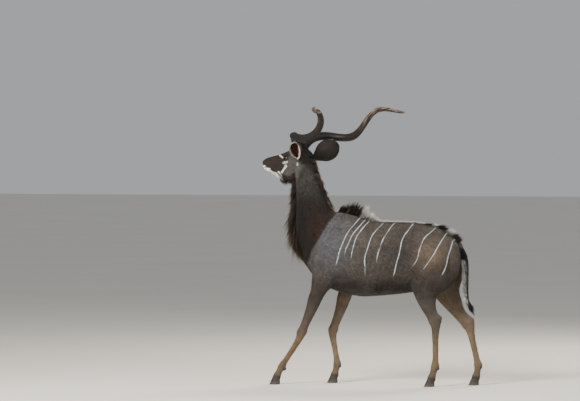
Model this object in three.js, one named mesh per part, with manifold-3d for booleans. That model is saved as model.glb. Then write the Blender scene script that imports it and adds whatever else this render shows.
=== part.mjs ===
// Greater kudu bull, life size, walking, its head raised and turned to its right.
// Millimetres. +X is forward, +Y the animal's left, +Z up, and the ground is at z = 0.

import * as THREE from 'three';
import { mergeVertices } from 'three/addons/utils/BufferGeometryUtils.js';
import Module from 'manifold-3d';

const wasm = await Module();
wasm.setup();

// Driving sizes of the whole animal.
const GAP = 0.3;
const SIDES = [1, -1];
const DEGREE = Math.PI / 180;
const FLOOR_CENTRE = new THREE.Vector3(56, 256, 0);

// Head: its place at the middle of the horn bases, and how it is turned and lowered.
const HEAD_PLACE = new THREE.Vector3(619, -30, 1902);
const HEAD_TURN = 28 * DEGREE;
const NOSE_DROP = 16.8 * DEGREE;

// Horns: an open corkscrew round an axis that runs back and outward from the head.
const HORN_LENGTH = 861;
const HORN_SPACING = 46;
const HORN_SPREAD = 32.3 * DEGREE;
const HORN_RISE = 7.6 * DEGREE;
const HORN_COIL_RADIUS = 81;
const HORN_COIL_GROWTH = 0.111;
const HORN_COIL_TAPER = 0.42;
const HORN_COIL_START = 272.6 * DEGREE;
const HORN_TURNS = 1.37;
const HORN_TURN_POWER = 1.44;
const HORN_BASE_RADIUS = 39;
const HORN_KEEL = 0.16;

// Eyes, ears and hooves.
const EYE_RADIUS = 20;
const EYE_PLACE = new THREE.Vector3(119, 47, -58);
const LID_THICKNESS = 4.5;
const EAR_PLACE = new THREE.Vector3(-30, 64, -118);
const EAR_LENGTH = 255;
const EAR_WIDTH = 205;
const EAR_THICKNESS = 5;
const HOOF_LENGTH = 88;
const HOOF_WIDTH = 64;
const CORONET_HEIGHT = 58;

// Colours of the coat and of the bare parts.
const COAT_GREY = 0x6f6a66;
const NECK_BROWN = 0x4c443f;
const FACE_BROWN = 0x4a3a33;
const LEG_TAWNY = 0x7b6a58;
const EAR_BROWN = 0x51453f;
const HORN_BROWN = 0x2f2a29;
const HOOF_BLACK = 0x1d1b1a;
const EYE_BLACK = 0x120d0b;

const group = new THREE.Group();
group.position.copy(FLOOR_CENTRE).negate();

function vec(x, y, z) {
  return new THREE.Vector3(x, y, z);
}

// A seeded draw between minus one and one, so that the hair is alike each time.
function makeDraw(seed) {
  let state = seed;
  return () => {
    state = (state * 1664525 + 1013904223) % 4294967296;
    return state / 2147483648 - 1;
  };
}

// Values between rows of [place, value, value ...], on a smooth curve through the rows.
function between(rows, place) {
  let i = 0;
  while (i < rows.length - 2 && place > rows[i + 1][0]) i += 1;
  const before = rows[Math.max(i - 1, 0)];
  const start = rows[i];
  const end = rows[i + 1];
  const after = rows[Math.min(i + 2, rows.length - 1)];
  const span = end[0] - start[0];
  const t = (place - start[0]) / span;
  return start.map((value, k) => {
    const slopeIn = (span * (end[k] - before[k])) / (end[0] - before[0]);
    const slopeOut = (span * (after[k] - value)) / (after[0] - start[0]);
    const t2 = t * t;
    const t3 = t2 * t;
    return (2 * t3 - 3 * t2 + 1) * value + (t3 - 2 * t2 + t) * slopeIn
      + (3 * t2 - 2 * t3) * end[k] + (t3 - t2) * slopeOut;
  });
}

// Rows without a place column are spaced one apart.
function numbered(rows) {
  return rows.map((row, i) => [i, ...row]);
}

function roundedPower(value, power) {
  return Math.sign(value) * Math.abs(value) ** (2 / power);
}

// Closed geometry through rings with equal numbers of points, each end closed by a fan.
function loft(rings) {
  const sides = rings[0].length;
  const points = rings.flat();
  const faces = [];
  for (let r = 0; r < rings.length - 1; r += 1) {
    for (let s = 0; s < sides; s += 1) {
      const a = r * sides + s;
      const b = r * sides + ((s + 1) % sides);
      faces.push(a, b, b + sides, a, b + sides, a + sides);
    }
  }
  const last = (rings.length - 1) * sides;
  for (let s = 1; s < sides - 1; s += 1) {
    faces.push(0, s + 1, s, last, last + s, last + s + 1);
  }
  return facingOut(points, faces);
}

// Geometry of points and faces, turned so that the faces point outward.
function facingOut(points, faces) {
  let volume = 0;
  for (let i = 0; i < faces.length; i += 3) {
    const [a, b, c] = [points[faces[i]], points[faces[i + 1]], points[faces[i + 2]]];
    volume += a.dot(b.clone().cross(c));
  }
  const geometry = new THREE.BufferGeometry().setFromPoints(points);
  geometry.setIndex(volume < 0 ? faces.toReversed() : faces);
  return geometry;
}

function toSolid(geometry) {
  const bare = geometry.clone();
  bare.deleteAttribute('normal');
  bare.deleteAttribute('uv');
  const merged = mergeVertices(bare, 1e-4);
  return new wasm.Manifold(new wasm.Mesh({
    numProp: 3,
    vertProperties: new Float32Array(merged.attributes.position.array),
    triVerts: new Uint32Array(merged.index.array),
  }));
}

function join(solids) {
  return wasm.Manifold.union(solids);
}

function largest(solid) {
  return solid.decompose().sort((a, b) => b.volume() - a.volume())[0];
}

// The part of a solid ahead of a plane, which is a point and the way that it faces.
function ahead(solid, plane, margin = GAP / 2) {
  const way = plane.way.clone().normalize();
  return solid.trimByPlane(way.toArray(), way.dot(plane.point) + margin);
}

function behind(solid, plane, margin = GAP / 2) {
  return ahead(solid, { point: plane.point, way: plane.way.clone().negate() }, margin);
}

function addNode(name, solid, colour, roughness) {
  const mesh = largest(solid).getMesh();
  const geometry = new THREE.BufferGeometry();
  geometry.setAttribute('position', new THREE.BufferAttribute(mesh.vertProperties, 3));
  geometry.setIndex(new THREE.BufferAttribute(mesh.triVerts, 1));
  const material = new THREE.MeshStandardMaterial({ color: colour, roughness, metalness: 0 });
  const node = new THREE.Mesh(geometry, material);
  node.name = name;
  group.add(node);
}

function ellipsoid(centre, radii, wide = 12, high = 8) {
  const geometry = new THREE.SphereGeometry(1, wide, high);
  geometry.scale(radii.x, radii.y, radii.z);
  geometry.translate(centre.x, centre.y, centre.z);
  return geometry;
}

// Stations down a lock: the place along it, its rise from the skin, and its share of the width.
const SHORT_LOCK = [[-0.06, -1, 0.75], [0.3, 0.7, 1], [0.68, 1, 0.72], [1, 0.9, 0.05]];
const LONG_LOCK = [[-0.06, -1, 0.75], [0.24, 0.4, 1], [0.6, 0.9, 0.84], [1, 1, 0.05]];

// One flat lock: its root is sunk in the skin, then it rises and bends along the lie.
function lock(root, out, lie, size) {
  const across = out.clone().cross(lie).normalize();
  const down = vec(0, 0, -1);
  const rings = size.stations.map(([along, rise, taper]) => {
    const height = rise < 0 ? -size.sink : rise * size.lift;
    const middle = root.clone().addScaledVector(lie, along * size.length);
    middle.addScaledVector(out, height);
    middle.addScaledVector(down, size.fall * Math.max(along, 0) ** 2);
    const half = across.clone().multiplyScalar((size.width / 2) * taper);
    const thick = out.clone().multiplyScalar((size.thick / 2) * (0.35 + 0.65 * taper));
    return [middle.clone().sub(half).sub(thick), middle.clone().add(half).sub(thick),
      middle.clone().add(thick)];
  });
  return toSolid(loft(rings));
}

// Locks in rows over a skin, which is a function of the place along and the angle round.
function locksOver(skin, draw, rows) {
  const locks = [];
  rows.forEach(({ place, angle, lie, size, vary = 1 }) => {
    const root = skin(place, angle);
    const aheadPoint = skin(place + 0.02, angle).sub(root);
    const roundPoint = skin(place, angle + 0.03).sub(root);
    const out = aheadPoint.cross(roundPoint).normalize();
    const inward = skin(place, angle + Math.PI).sub(root);
    if (out.dot(inward) > 0) out.negate();
    const way = lie.clone();
    way.add(vec(draw(), draw(), draw()).multiplyScalar(0.14 * vary));
    way.addScaledVector(out, -way.dot(out)).normalize();
    const scale = 1 + 0.16 * vary * draw();
    locks.push(lock(root, out, way, {
      ...size,
      length: size.length * scale,
      lift: size.lift * (1 + 0.25 * draw()),
    }));
  });
  return locks;
}

// Trunk: upright sections along X, each row [x, top, bottom, half width, power above, below].
const TRUNK_ROWS = [
  [-694, 1105, 1020, 42, 2, 2],
  [-674, 1150, 930, 88, 2, 2],
  [-632, 1198, 868, 126, 2, 2],
  [-560, 1242, 822, 158, 2, 2.1],
  [-460, 1276, 782, 180, 2, 2.2],
  [-350, 1292, 750, 194, 1.95, 2.2],
  [-240, 1296, 733, 206, 1.9, 2.2],
  [-120, 1296, 720, 213, 1.85, 2.2],
  [0, 1304, 709, 212, 1.75, 2.2],
  [110, 1340, 704, 200, 1.6, 2.2],
  [200, 1378, 718, 184, 1.5, 2.1],
  [285, 1392, 738, 170, 1.5, 2.1],
  [360, 1374, 764, 160, 1.6, 2],
  [430, 1322, 805, 148, 1.8, 2],
  [495, 1240, 862, 128, 2, 2],
  [545, 1150, 930, 96, 2, 2],
  [572, 1085, 985, 50, 2, 2],
];
const TRUNK_SIDES = 18;
const TRUNK_WIDEST = 0.46;

// A point of the trunk's skin, or of the same form grown by a margin.
function trunkSkin(x, angle, grown = 0) {
  const [, top, bottom, width, upper, lower] = between(TRUNK_ROWS, x);
  const middle = bottom + (top - bottom) * TRUNK_WIDEST;
  const sine = Math.sin(angle);
  const power = sine > 0 ? upper : lower;
  const height = (sine > 0 ? top - middle : middle - bottom) + grown;
  const across = (width + grown) * roundedPower(Math.cos(angle), power);
  return vec(x, across, middle + height * roundedPower(sine, power));
}

function sections(skin, places, sides) {
  const angles = Array.from({ length: sides }, (_, k) => (k * 2 * Math.PI) / sides);
  return places.map((place) => angles.map((angle) => skin(place, angle)));
}

function evenly(from, to, count) {
  return Array.from({ length: count }, (_, i) => from + ((to - from) * i) / (count - 1));
}

function trunk(grown = 0) {
  const places = TRUNK_ROWS.map((row) => row[0]);
  const halfway = places.slice(1).map((x, i) => (x + places[i]) / 2);
  const barrel = halfway.filter((x) => x > -400 && x < 320);
  const all = [...places, ...barrel].sort((a, b) => a - b);
  const rings = sections((x, angle) => trunkSkin(x, angle, grown), all, TRUNK_SIDES);
  rings[0].forEach((point) => point.setX(point.x - grown));
  return toSolid(loft(rings));
}

// Neck: sections across its centre line, each row
// [x, z, half depth, half width, slope of the line in degrees, turn to the right in degrees].
const NECK_ROWS = numbered([
  [400, 1150, 235, 128, 30, 0],
  [480, 1255, 200, 122, 44, 0],
  [512, 1372, 160, 108, 58, 0],
  [528, 1492, 125, 94, 68, 0],
  [550, 1608, 102, 83, 73, -4],
  [568, 1706, 89, 75, 76, -12],
  [576, 1785, 80, 67, 78, -22],
  [580, 1822, 68, 57, 79, -26],
]);
const NECK_SIDES = 16;
const NECK_END = NECK_ROWS.length - 1;

function neckSkin(place, angle) {
  const [, x, z, depth, width, slope, turn] = between(NECK_ROWS, place);
  const along = Math.sin(angle) * depth;
  const across = Math.cos(angle) * width * (1 - 0.1 * Math.sin(angle));
  const heading = vec(Math.sin(slope * DEGREE), 0, -Math.cos(slope * DEGREE));
  const sideways = vec(0, 1, 0);
  heading.applyAxisAngle(vec(0, 0, 1), turn * DEGREE);
  sideways.applyAxisAngle(vec(0, 0, 1), turn * DEGREE);
  return vec(x, 0, z).addScaledVector(heading, -along).addScaledVector(sideways, across);
}

function neck() {
  return toSolid(loft(sections(neckSkin, evenly(0, NECK_END, 12), NECK_SIDES)));
}

// Head frame: forward to the nose, the animal's left, and up across the forehead.
const headForward = vec(Math.cos(HEAD_TURN) * Math.cos(NOSE_DROP),
  -Math.sin(HEAD_TURN) * Math.cos(NOSE_DROP), -Math.sin(NOSE_DROP));
const headLeft = vec(Math.sin(HEAD_TURN), Math.cos(HEAD_TURN), 0);
const headUp = headForward.clone().cross(headLeft);
const headMatrix = new THREE.Matrix4().makeBasis(headForward, headLeft, headUp).setPosition(HEAD_PLACE);

function onHead(point) {
  return point.clone().applyMatrix4(headMatrix);
}

function headSolid(geometry) {
  return toSolid(geometry.clone().applyMatrix4(headMatrix));
}

// Head: sections along its length, each row
// [forward, top, bottom, half width, height of the widest place, power above, power below].
const HEAD_ROWS = [
  [-88, -75, -135, 32, 0.6, 2, 2],
  [-72, -46, -172, 52, 0.6, 2, 2],
  [-42, -22, -200, 63, 0.6, 2.2, 2],
  [0, -8, -214, 68, 0.6, 2.5, 1.9],
  [50, 0, -220, 69, 0.62, 2.6, 1.8],
  [100, 2, -220, 67, 0.66, 2.5, 1.7],
  [140, 2, -212, 62, 0.66, 2.4, 1.7],
  [180, 3, -199, 55, 0.62, 2.3, 1.7],
  [230, 6, -173, 47, 0.58, 2.3, 1.8],
  [280, 9, -144, 42, 0.54, 2.3, 1.9],
  [325, 12, -116, 40, 0.52, 2.3, 2],
  [358, 13, -100, 41, 0.52, 2.3, 2],
  [380, 10, -92, 39, 0.52, 2.2, 2],
  [396, 1, -76, 29, 0.54, 2.1, 2],
  [405, -13, -54, 14, 0.56, 2, 2],
];
const HEAD_SIDES = 20;

// A point of the head's skin, or of the same form with its walls moved inward.
function headSection(place, angle, inward = 0) {
  const [, top, bottom, width, widest, upper, lower] = between(HEAD_ROWS, place);
  const middle = bottom + (top - bottom) * widest;
  const sine = Math.sin(angle);
  const power = sine > 0 ? upper : lower;
  const height = (sine > 0 ? top - middle : middle - bottom) - inward;
  return vec(place, (width - inward) * roundedPower(Math.cos(angle), power),
    middle + height * roundedPower(sine, power));
}

function headSkin(place, angle) {
  return onHead(headSection(place, angle));
}

// The fore part of the head, from a place behind the mouth to near the nose.
function muzzleForm(inward, from, to) {
  const skin = (place, angle) => headSection(place, angle, inward);
  const places = HEAD_ROWS.map((row) => row[0]).filter((place) => place > from && place < to);
  return loft(sections(skin, [from, ...places, to], HEAD_SIDES));
}

function head() {
  const places = HEAD_ROWS.map((row) => row[0]);
  const extra = places.slice(4, 9).map((x, i) => (x + places[i]) / 2);
  const all = [...places, ...extra].sort((a, b) => a - b);
  return headSolid(loft(sections(headSection, all, HEAD_SIDES)));
}

// Legs: sections across the leg's line, each row
// [x, z, half depth, half width, distance from the middle of the animal].
const LEFT_FORELEG = numbered([
  [300, 1230, 70, 40, 88], [330, 1100, 122, 58, 104], [370, 960, 122, 63, 112],
  [408, 840, 92, 56, 118], [443, 735, 63, 47, 122], [485, 630, 48, 40, 124],
  [533, 515, 37, 34, 124], [561, 450, 35, 34, 124], [577, 410, 37, 35, 124],
  [599, 360, 29, 27, 124], [648, 280, 25, 22, 124], [706, 192, 26, 22, 124],
  [734, 148, 32, 27, 124], [758, 103, 27, 25, 124], [776, 64, 35, 31, 124],
  [785, 30, 30, 26, 124],
]);
const RIGHT_FORELEG = numbered([
  [290, 1230, 70, 40, -88], [288, 1100, 120, 58, -104], [270, 960, 118, 63, -112],
  [245, 845, 90, 56, -118], [258, 740, 64, 47, -122], [291, 635, 49, 40, -124],
  [331, 525, 38, 34, -124], [357, 458, 35, 34, -124], [369, 416, 37, 35, -124],
  [366, 362, 29, 27, -124], [352, 282, 25, 22, -124], [338, 203, 26, 22, -124],
  [334, 160, 32, 27, -124], [343, 108, 27, 25, -124], [354, 64, 35, 31, -124],
  [362, 30, 30, 26, -124],
]);
const LEFT_HIND_LEG = numbered([
  [-545, 1190, 90, 44, 76], [-545, 1080, 165, 68, 92], [-512, 950, 192, 76, 104],
  [-458, 840, 160, 66, 112], [-432, 748, 108, 52, 116], [-448, 660, 70, 40, 118],
  [-478, 588, 52, 33, 118], [-508, 527, 52, 34, 118], [-513, 468, 37, 29, 118],
  [-512, 400, 29, 24, 118], [-512, 310, 27, 23, 118], [-512, 215, 27, 23, 118],
  [-508, 167, 34, 28, 118], [-494, 112, 28, 26, 118], [-480, 64, 36, 32, 118],
  [-472, 30, 31, 27, 118],
]);
const RIGHT_HIND_LEG = numbered([
  [-550, 1190, 90, 44, -76], [-560, 1080, 150, 68, -92], [-555, 950, 165, 76, -104],
  [-548, 840, 148, 66, -112], [-568, 740, 110, 52, -116], [-618, 645, 74, 40, -118],
  [-672, 566, 54, 33, -118], [-736, 492, 52, 34, -118], [-754, 436, 37, 29, -118],
  [-768, 375, 29, 24, -118], [-786, 300, 27, 23, -118], [-806, 210, 27, 23, -118],
  [-815, 167, 34, 28, -118], [-811, 112, 28, 26, -118], [-800, 64, 36, 32, -118],
  [-794, 30, 31, 27, -118],
]);
const LEG_SIDES = 10;
const LEG_STEPS = 20;

function legSkin(rows, place, angle, grown = 0) {
  const [, x, z, depth, width, y] = between(rows, place);
  const end = rows.length - 1;
  const before = between(rows, Math.max(place - 0.3, 0));
  const after = between(rows, Math.min(place + 0.3, end));
  const line = vec(after[1] - before[1], 0, after[2] - before[2]).normalize();
  const forward = vec(-line.z, 0, line.x);
  return vec(x, y, z).addScaledVector(forward, (depth + grown) * Math.sin(angle))
    .add(vec(0, (width + grown) * Math.cos(angle), 0));
}

function leg(rows, grown = 0) {
  const places = evenly(0, rows.length - 1, LEG_STEPS);
  const skin = (place, angle) => legSkin(rows, place, angle, grown);
  return toSolid(loft(sections(skin, places, LEG_SIDES)));
}

// Two dew claws behind the fetlock, which is the thirteenth row of a leg.
const FETLOCK_ROW = 12;

function dewClaws(rows) {
  const [x, z, depth, , y] = rows[FETLOCK_ROW].slice(1);
  const radii = vec(10, 8, 13);
  return SIDES.map((side) => {
    const centre = vec(x - depth + 6, y + side * 12, z - 20);
    return toSolid(ellipsoid(centre, radii, 6, 4));
  });
}

// Hoof: two claws with flat soles, joined under the pastern.
function claw(x, y, side) {
  const rings = [[0, 0, 1, 1], [30, -6, 0.84, 0.94], [CORONET_HEIGHT + 6, -14, 0.62, 0.8]];
  return toSolid(loft(rings.map(([z, back, long, wide]) => Array.from({ length: 10 }, (_, k) => {
    const angle = (k * Math.PI) / 5;
    const forward = Math.cos(angle);
    const toe = forward > 0 ? 1 : 0.86;
    const narrow = forward > 0 ? 1 - 0.45 * forward * forward : 1;
    const reach = (HOOF_LENGTH / 2) * long * toe * forward;
    const half = (HOOF_WIDTH / 4 - 0.6) * wide * narrow * Math.sin(angle);
    return vec(x + back + reach, y + side * (HOOF_WIDTH / 4 + 0.4) + half, z);
  }))));
}

function coronetPlane(rows) {
  const [x, , , , y] = rows[rows.length - 2].slice(1);
  return { point: vec(x, y, CORONET_HEIGHT), way: vec(-0.16, 0, 1) };
}

function hoof(rows) {
  const [x, , , , y] = rows[rows.length - 2].slice(1);
  const claws = SIDES.map((side) => claw(x + 16, y, side));
  return behind(join([...claws, leg(rows)]), coronetPlane(rows));
}

// Outlines of the legs from the side, which part them from the trunk.
const FORELEG_OUTLINE = [[150, 860], [130, 600], [180, -20], [900, -20], [900, 520],
  [520, 900], [500, 1050], [402, 1180], [300, 1268], [205, 1215]];
const HIND_LEG_OUTLINE = [[-400, 1120], [-520, 1195], [-640, 1165], [-760, 1040], [-800, 800],
  [-900, 560], [-900, -20], [-400, -20], [-220, 640], [-235, 860]];

// An outline that runs anticlockwise, moved inward.
function insetOutline(outline, distance) {
  return outline.map((point, i) => {
    const before = outline[(i + outline.length - 1) % outline.length];
    const after = outline[(i + 1) % outline.length];
    const tangent = new THREE.Vector2(after[0] - before[0], after[1] - before[1]).normalize();
    return [point[0] - tangent.y * distance, point[1] + tangent.x * distance];
  });
}

// A block with the outline's shape from the side, on one side of the animal, drawn in by an inset.
const BLOCK_OUTER = 400;

function sideBlock({ outline, side, inner: middle }, inset) {
  const points = insetOutline(outline, inset).map(([x, z]) => new THREE.Vector2(x, z));
  const shape = new THREE.Shape(points);
  const inner = middle + inset;
  const outer = BLOCK_OUTER;
  const geometry = new THREE.ExtrudeGeometry(shape, { depth: outer - inner, bevelEnabled: false });
  geometry.rotateX(Math.PI / 2);
  geometry.translate(0, side > 0 ? outer : -inner, 0);
  return toSolid(geometry);
}

const FORE = { outline: FORELEG_OUTLINE, inner: 62 };
const HIND = { outline: HIND_LEG_OUTLINE, inner: 50 };
const LEGS = [
  { ...FORE, name: 'foreleg_left', hoof: 'hoof_fore_left', rows: LEFT_FORELEG, side: 1 },
  { ...FORE, name: 'foreleg_right', hoof: 'hoof_fore_right', rows: RIGHT_FORELEG, side: -1 },
  { ...HIND, name: 'hind_leg_left', hoof: 'hoof_hind_left', rows: LEFT_HIND_LEG, side: 1 },
  { ...HIND, name: 'hind_leg_right', hoof: 'hoof_hind_right', rows: RIGHT_HIND_LEG, side: -1 },
];

// Tail: a narrow dock with a core, each row [x, z, half depth, half width].
const TAIL_ROWS = numbered([
  [-680, 1104, 24, 22], [-714, 1066, 26, 24], [-734, 1000, 22, 22], [-736, 920, 19, 20],
  [-734, 830, 18, 19], [-738, 740, 17, 18], [-758, 660, 15, 16], [-782, 600, 9, 10],
]);

function tailSkin(place, angle) {
  return legSkin(TAIL_ROWS.map((row) => [...row, 0]), place, angle);
}

function tailCore() {
  return toSolid(loft(sections(tailSkin, evenly(0, TAIL_ROWS.length - 1, 12), 10)));
}

// Planes that part the head, the neck and the tail.
const HEAD_CUT = {
  point: onHead(vec(-100, 0, -60)),
  way: headForward.clone().multiplyScalar(0.8).addScaledVector(headUp, 0.6),
};
const NECK_CUT = { point: vec(360, 0, 1385), way: vec(0.84, 0, 0.543) };
const TAIL_CUT = { point: vec(-704, 0, 1075), way: vec(-0.9, 0, -0.44) };

// Horns: the centre line of one, from its base to its tip as t goes from 0 to 1.
function hornCentre(side, t) {
  const axis = vec(-Math.cos(HORN_SPREAD) * Math.cos(HORN_RISE),
    side * Math.sin(HORN_SPREAD) * Math.cos(HORN_RISE), Math.sin(HORN_RISE));
  const outward = vec(0, side, 0);
  outward.addScaledVector(axis, -outward.dot(axis)).normalize();
  const upward = axis.clone().cross(outward).multiplyScalar(side);
  const opening = (1 - Math.exp(-t / HORN_COIL_GROWTH)) * (1 - HORN_COIL_TAPER * t);
  const radius = HORN_COIL_RADIUS * opening;
  const turn = HORN_COIL_START + 2 * Math.PI * HORN_TURNS * t ** HORN_TURN_POWER;
  const radial = outward.multiplyScalar(Math.cos(turn)).addScaledVector(upward, Math.sin(turn));
  const centre = vec(0, side * HORN_SPACING, 0).addScaledVector(axis, HORN_LENGTH * t);
  return { point: centre.addScaledVector(radial, radius), radial, axis };
}

const HORN_THICKNESS = [[0, 1], [0.22, 0.86], [0.5, 0.7], [0.62, 0.62], [0.8, 0.45],
  [0.93, 0.26], [1, 0.1]];
const HORN_SIDES = 10;
const HORN_STEPS = 34;
const HORN_ROOT = 40;

function hornRing(side, t, sunk, swell) {
  const { point, radial } = hornCentre(side, t);
  const tangent = hornCentre(side, t + 0.01).point.sub(hornCentre(side, t).point).normalize();
  const first = radial.clone().addScaledVector(tangent, -radial.dot(tangent)).normalize();
  const second = tangent.clone().cross(first);
  const radius = HORN_BASE_RADIUS * swell * between(HORN_THICKNESS, t)[1];
  point.addScaledVector(tangent, -sunk);
  return Array.from({ length: HORN_SIDES }, (_, k) => {
    const angle = (k * 2 * Math.PI) / HORN_SIDES;
    const keel = 1 + HORN_KEEL * Math.max(Math.cos(angle), 0) ** 6;
    return point.clone().addScaledVector(first, radius * keel * Math.cos(angle))
      .addScaledVector(second, radius * keel * Math.sin(angle) * side);
  });
}

function horn(side, swell = 1) {
  const rings = [hornRing(side, 0, HORN_ROOT, swell)];
  for (let i = 0; i <= HORN_STEPS; i += 1) {
    rings.push(hornRing(side, (i / HORN_STEPS) ** 1.05, 0, swell));
  }
  return headSolid(loft(rings));
}

function hornPlane(side) {
  const start = hornCentre(side, 0).point;
  const way = hornCentre(side, 0.01).point.sub(start).normalize();
  const point = start.addScaledVector(way, 12);
  return { point: onHead(point), way: way.transformDirection(headMatrix) };
}

// Ears: a leaf-shaped shell, rolled into a tube at its root and open like a cup above.
const EARS = [{
  name: 'ear_left',
  side: 1,
  lie: vec(-0.4715, 0.662, 0.578),
  facing: vec(0.2, 0.72, -0.66),
  roll: 1.9,
  length: 0.82,
}, {
  name: 'ear_right',
  side: -1,
  lie: vec(-0.808, -0.513, 0.293),
  facing: vec(0.615, -0.766, 0.186),
  roll: 1,
  length: 1,
}];
// Each row is [place along the ear, share of the full width, half angle of the roll in degrees].
const EAR_ROWS = [[-0.12, 0.42, 152], [0.05, 0.44, 146], [0.2, 0.66, 100], [0.4, 0.93, 68],
  [0.6, 1, 58], [0.78, 0.86, 50], [0.92, 0.52, 42], [1, 0.14, 34]];
const EAR_STEPS = 11;
const EAR_COLUMNS = 8;

function earFrame(ear) {
  const lie = ear.lie.clone().normalize();
  const facing = ear.facing.clone();
  facing.addScaledVector(lie, -facing.dot(lie)).normalize();
  const across = facing.clone().cross(lie);
  const base = vec(EAR_PLACE.x, ear.side * EAR_PLACE.y, EAR_PLACE.z);
  return { lie, facing, across, base, roll: ear.roll, length: EAR_LENGTH * ear.length };
}

function earPoint(frame, place, column, depth) {
  const [, share, half] = between(EAR_ROWS, place);
  const roll = Math.min(half * frame.roll, 155) * DEGREE;
  const radius = (EAR_WIDTH * share) / (2 * roll);
  const angle = column * roll;
  const wall = radius - depth;
  return frame.base.clone().addScaledVector(frame.lie, frame.length * place)
    .addScaledVector(frame.facing, radius * 0.55 - wall * Math.cos(angle))
    .addScaledVector(frame.across, wall * Math.sin(angle));
}

function earShell(ear) {
  const frame = earFrame(ear);
  const rings = evenly(-0.12, 1, EAR_STEPS).map((place) => {
    const columns = evenly(-1, 1, EAR_COLUMNS);
    const thickness = EAR_THICKNESS * (1 - 0.55 * Math.max(place, 0));
    const outer = columns.map((column) => earPoint(frame, place, column, 0));
    const inner = columns.toReversed().map((column) => earPoint(frame, place, column, thickness));
    return [...outer, ...inner];
  });
  return headSolid(stripLoft(rings, EAR_COLUMNS));
}

// Loft of rings that are an outer and an inner row, with each end closed by a strip between them.
function stripLoft(rings, columns) {
  const sides = columns * 2;
  const points = rings.flat();
  const faces = [];
  for (let r = 0; r < rings.length - 1; r += 1) {
    for (let s = 0; s < sides; s += 1) {
      const a = r * sides + s;
      const b = r * sides + ((s + 1) % sides);
      faces.push(a, b, b + sides, a, b + sides, a + sides);
    }
  }
  [[0, true], [rings.length - 1, false]].forEach(([ring, first]) => {
    const start = ring * sides;
    for (let c = 0; c < columns - 1; c += 1) {
      const [a, b] = [start + c, start + c + 1];
      const [d, e] = [start + sides - 1 - c, start + sides - 2 - c];
      if (first) faces.push(a, e, b, a, d, e);
      else faces.push(a, b, e, a, e, d);
    }
  });
  return facingOut(points, faces);
}

function earPlane(ear) {
  const { lie, base } = earFrame(ear);
  const point = base.clone().addScaledVector(lie, 26);
  return { point: onHead(point), way: lie.clone().transformDirection(headMatrix) };
}

// The ear's fleshy root, a short cone on the side of the skull.
function earRoot(ear, grown) {
  const { lie, base, facing, across } = earFrame(ear);
  const profile = [[-42 - grown, 34], [-10, 34], [10, 29], [30 + grown, 24]];
  const rings = profile.map(([along, inner]) => {
    const radius = inner + grown;
    const middle = base.clone().addScaledVector(lie, along);
    return Array.from({ length: 12 }, (_, k) => middle.clone()
      .addScaledVector(facing, radius * Math.cos((k * Math.PI) / 6))
      .addScaledVector(across, radius * Math.sin((k * Math.PI) / 6)));
  });
  return headSolid(loft(rings));
}

// Eyes: a ball in its socket, with lids of skin round an almond opening.
function eyeCentre(side) {
  return vec(EYE_PLACE.x, side * EYE_PLACE.y, EYE_PLACE.z);
}

function eyeBall(side, grown, wide = 12, high = 8) {
  const radius = EYE_RADIUS + grown;
  return headSolid(ellipsoid(eyeCentre(side), vec(radius, radius, radius), wide, high));
}

function eyeOpening(side) {
  const shape = new THREE.Shape();
  shape.moveTo(17, -3);
  shape.quadraticCurveTo(2, 19, -16, 2);
  shape.quadraticCurveTo(-3, -13, 17, -3);
  const geometry = new THREE.ExtrudeGeometry(shape, { depth: 40, bevelEnabled: false, curveSegments: 6 });
  geometry.rotateX(Math.PI / 2);
  const centre = eyeCentre(side);
  geometry.translate(centre.x, side > 0 ? centre.y + 46 : centre.y - 6, centre.z);
  return headSolid(geometry);
}

// Mouth: a groove along the lips, from the front of the muzzle to its corners.
const MOUTH_LINE = [[420, -56], [385, -58], [355, -66], [325, -82], [300, -95], [284, -100]];

function mouthBand(above, below) {
  const upper = MOUTH_LINE.map(([x, z]) => new THREE.Vector2(x, z + above));
  const lower = MOUTH_LINE.map(([x, z]) => new THREE.Vector2(x, z - below)).reverse();
  const shape = new THREE.Shape([...upper, ...lower]);
  const geometry = new THREE.ExtrudeGeometry(shape, { depth: 120, bevelEnabled: false });
  geometry.rotateX(Math.PI / 2);
  geometry.translate(0, 60, 0);
  return headSolid(geometry);
}

function lips() {
  return headSolid(muzzleForm(-2.5, 262, 401)).intersect(mouthBand(9, 9));
}

function mouthGroove() {
  return mouthBand(1.2, 1.2).subtract(headSolid(muzzleForm(7, 250, 395)));
}

// Nostrils: slanted pockets with a raised wing above each.
function nostril(side, wide) {
  const geometry = new THREE.SphereGeometry(1, 8, 6);
  geometry.scale(13 + wide, 7 + wide, 7.5 + wide);
  geometry.rotateY(0.5);
  geometry.rotateZ(-side * 0.55);
  geometry.translate(388, side * 31, -25);
  return headSolid(geometry);
}

// Hair that hangs or stands in locks, with its size and the way that it lies.
function lockSize(stations, length, width, thick, lift, sink, fall) {
  return { stations, length, width, thick, lift, sink, fall };
}

const NAPE_LOCK = lockSize(SHORT_LOCK, 88, 31, 8, 18, 14, 0);
const FRINGE_LOCK = lockSize(LONG_LOCK, 122, 42, 11, 38, 16, 20);
const CHIN_LOCK = lockSize(SHORT_LOCK, 56, 28, 9, 36, 14, 16);
const WITHERS_LOCK = lockSize(SHORT_LOCK, 88, 30, 9, 20, 14, 0);
const RUMP_LOCK = lockSize(SHORT_LOCK, 62, 26, 8, 17, 12, 0);
const TAIL_LOCK = lockSize(SHORT_LOCK, 150, 29, 9, 15, 10, 8);
const TAIL_TIP_LOCK = lockSize(SHORT_LOCK, 105, 22, 9, 7, 6, 16);

// The way down the neck, against its rise, and the way forward out of its throat.
function neckWays(place) {
  const slope = between(NECK_ROWS, place)[5] * DEGREE;
  return {
    down: vec(-Math.cos(slope), 0, -Math.sin(slope)),
    out: vec(Math.sin(slope), 0, -Math.cos(slope)),
  };
}

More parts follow.
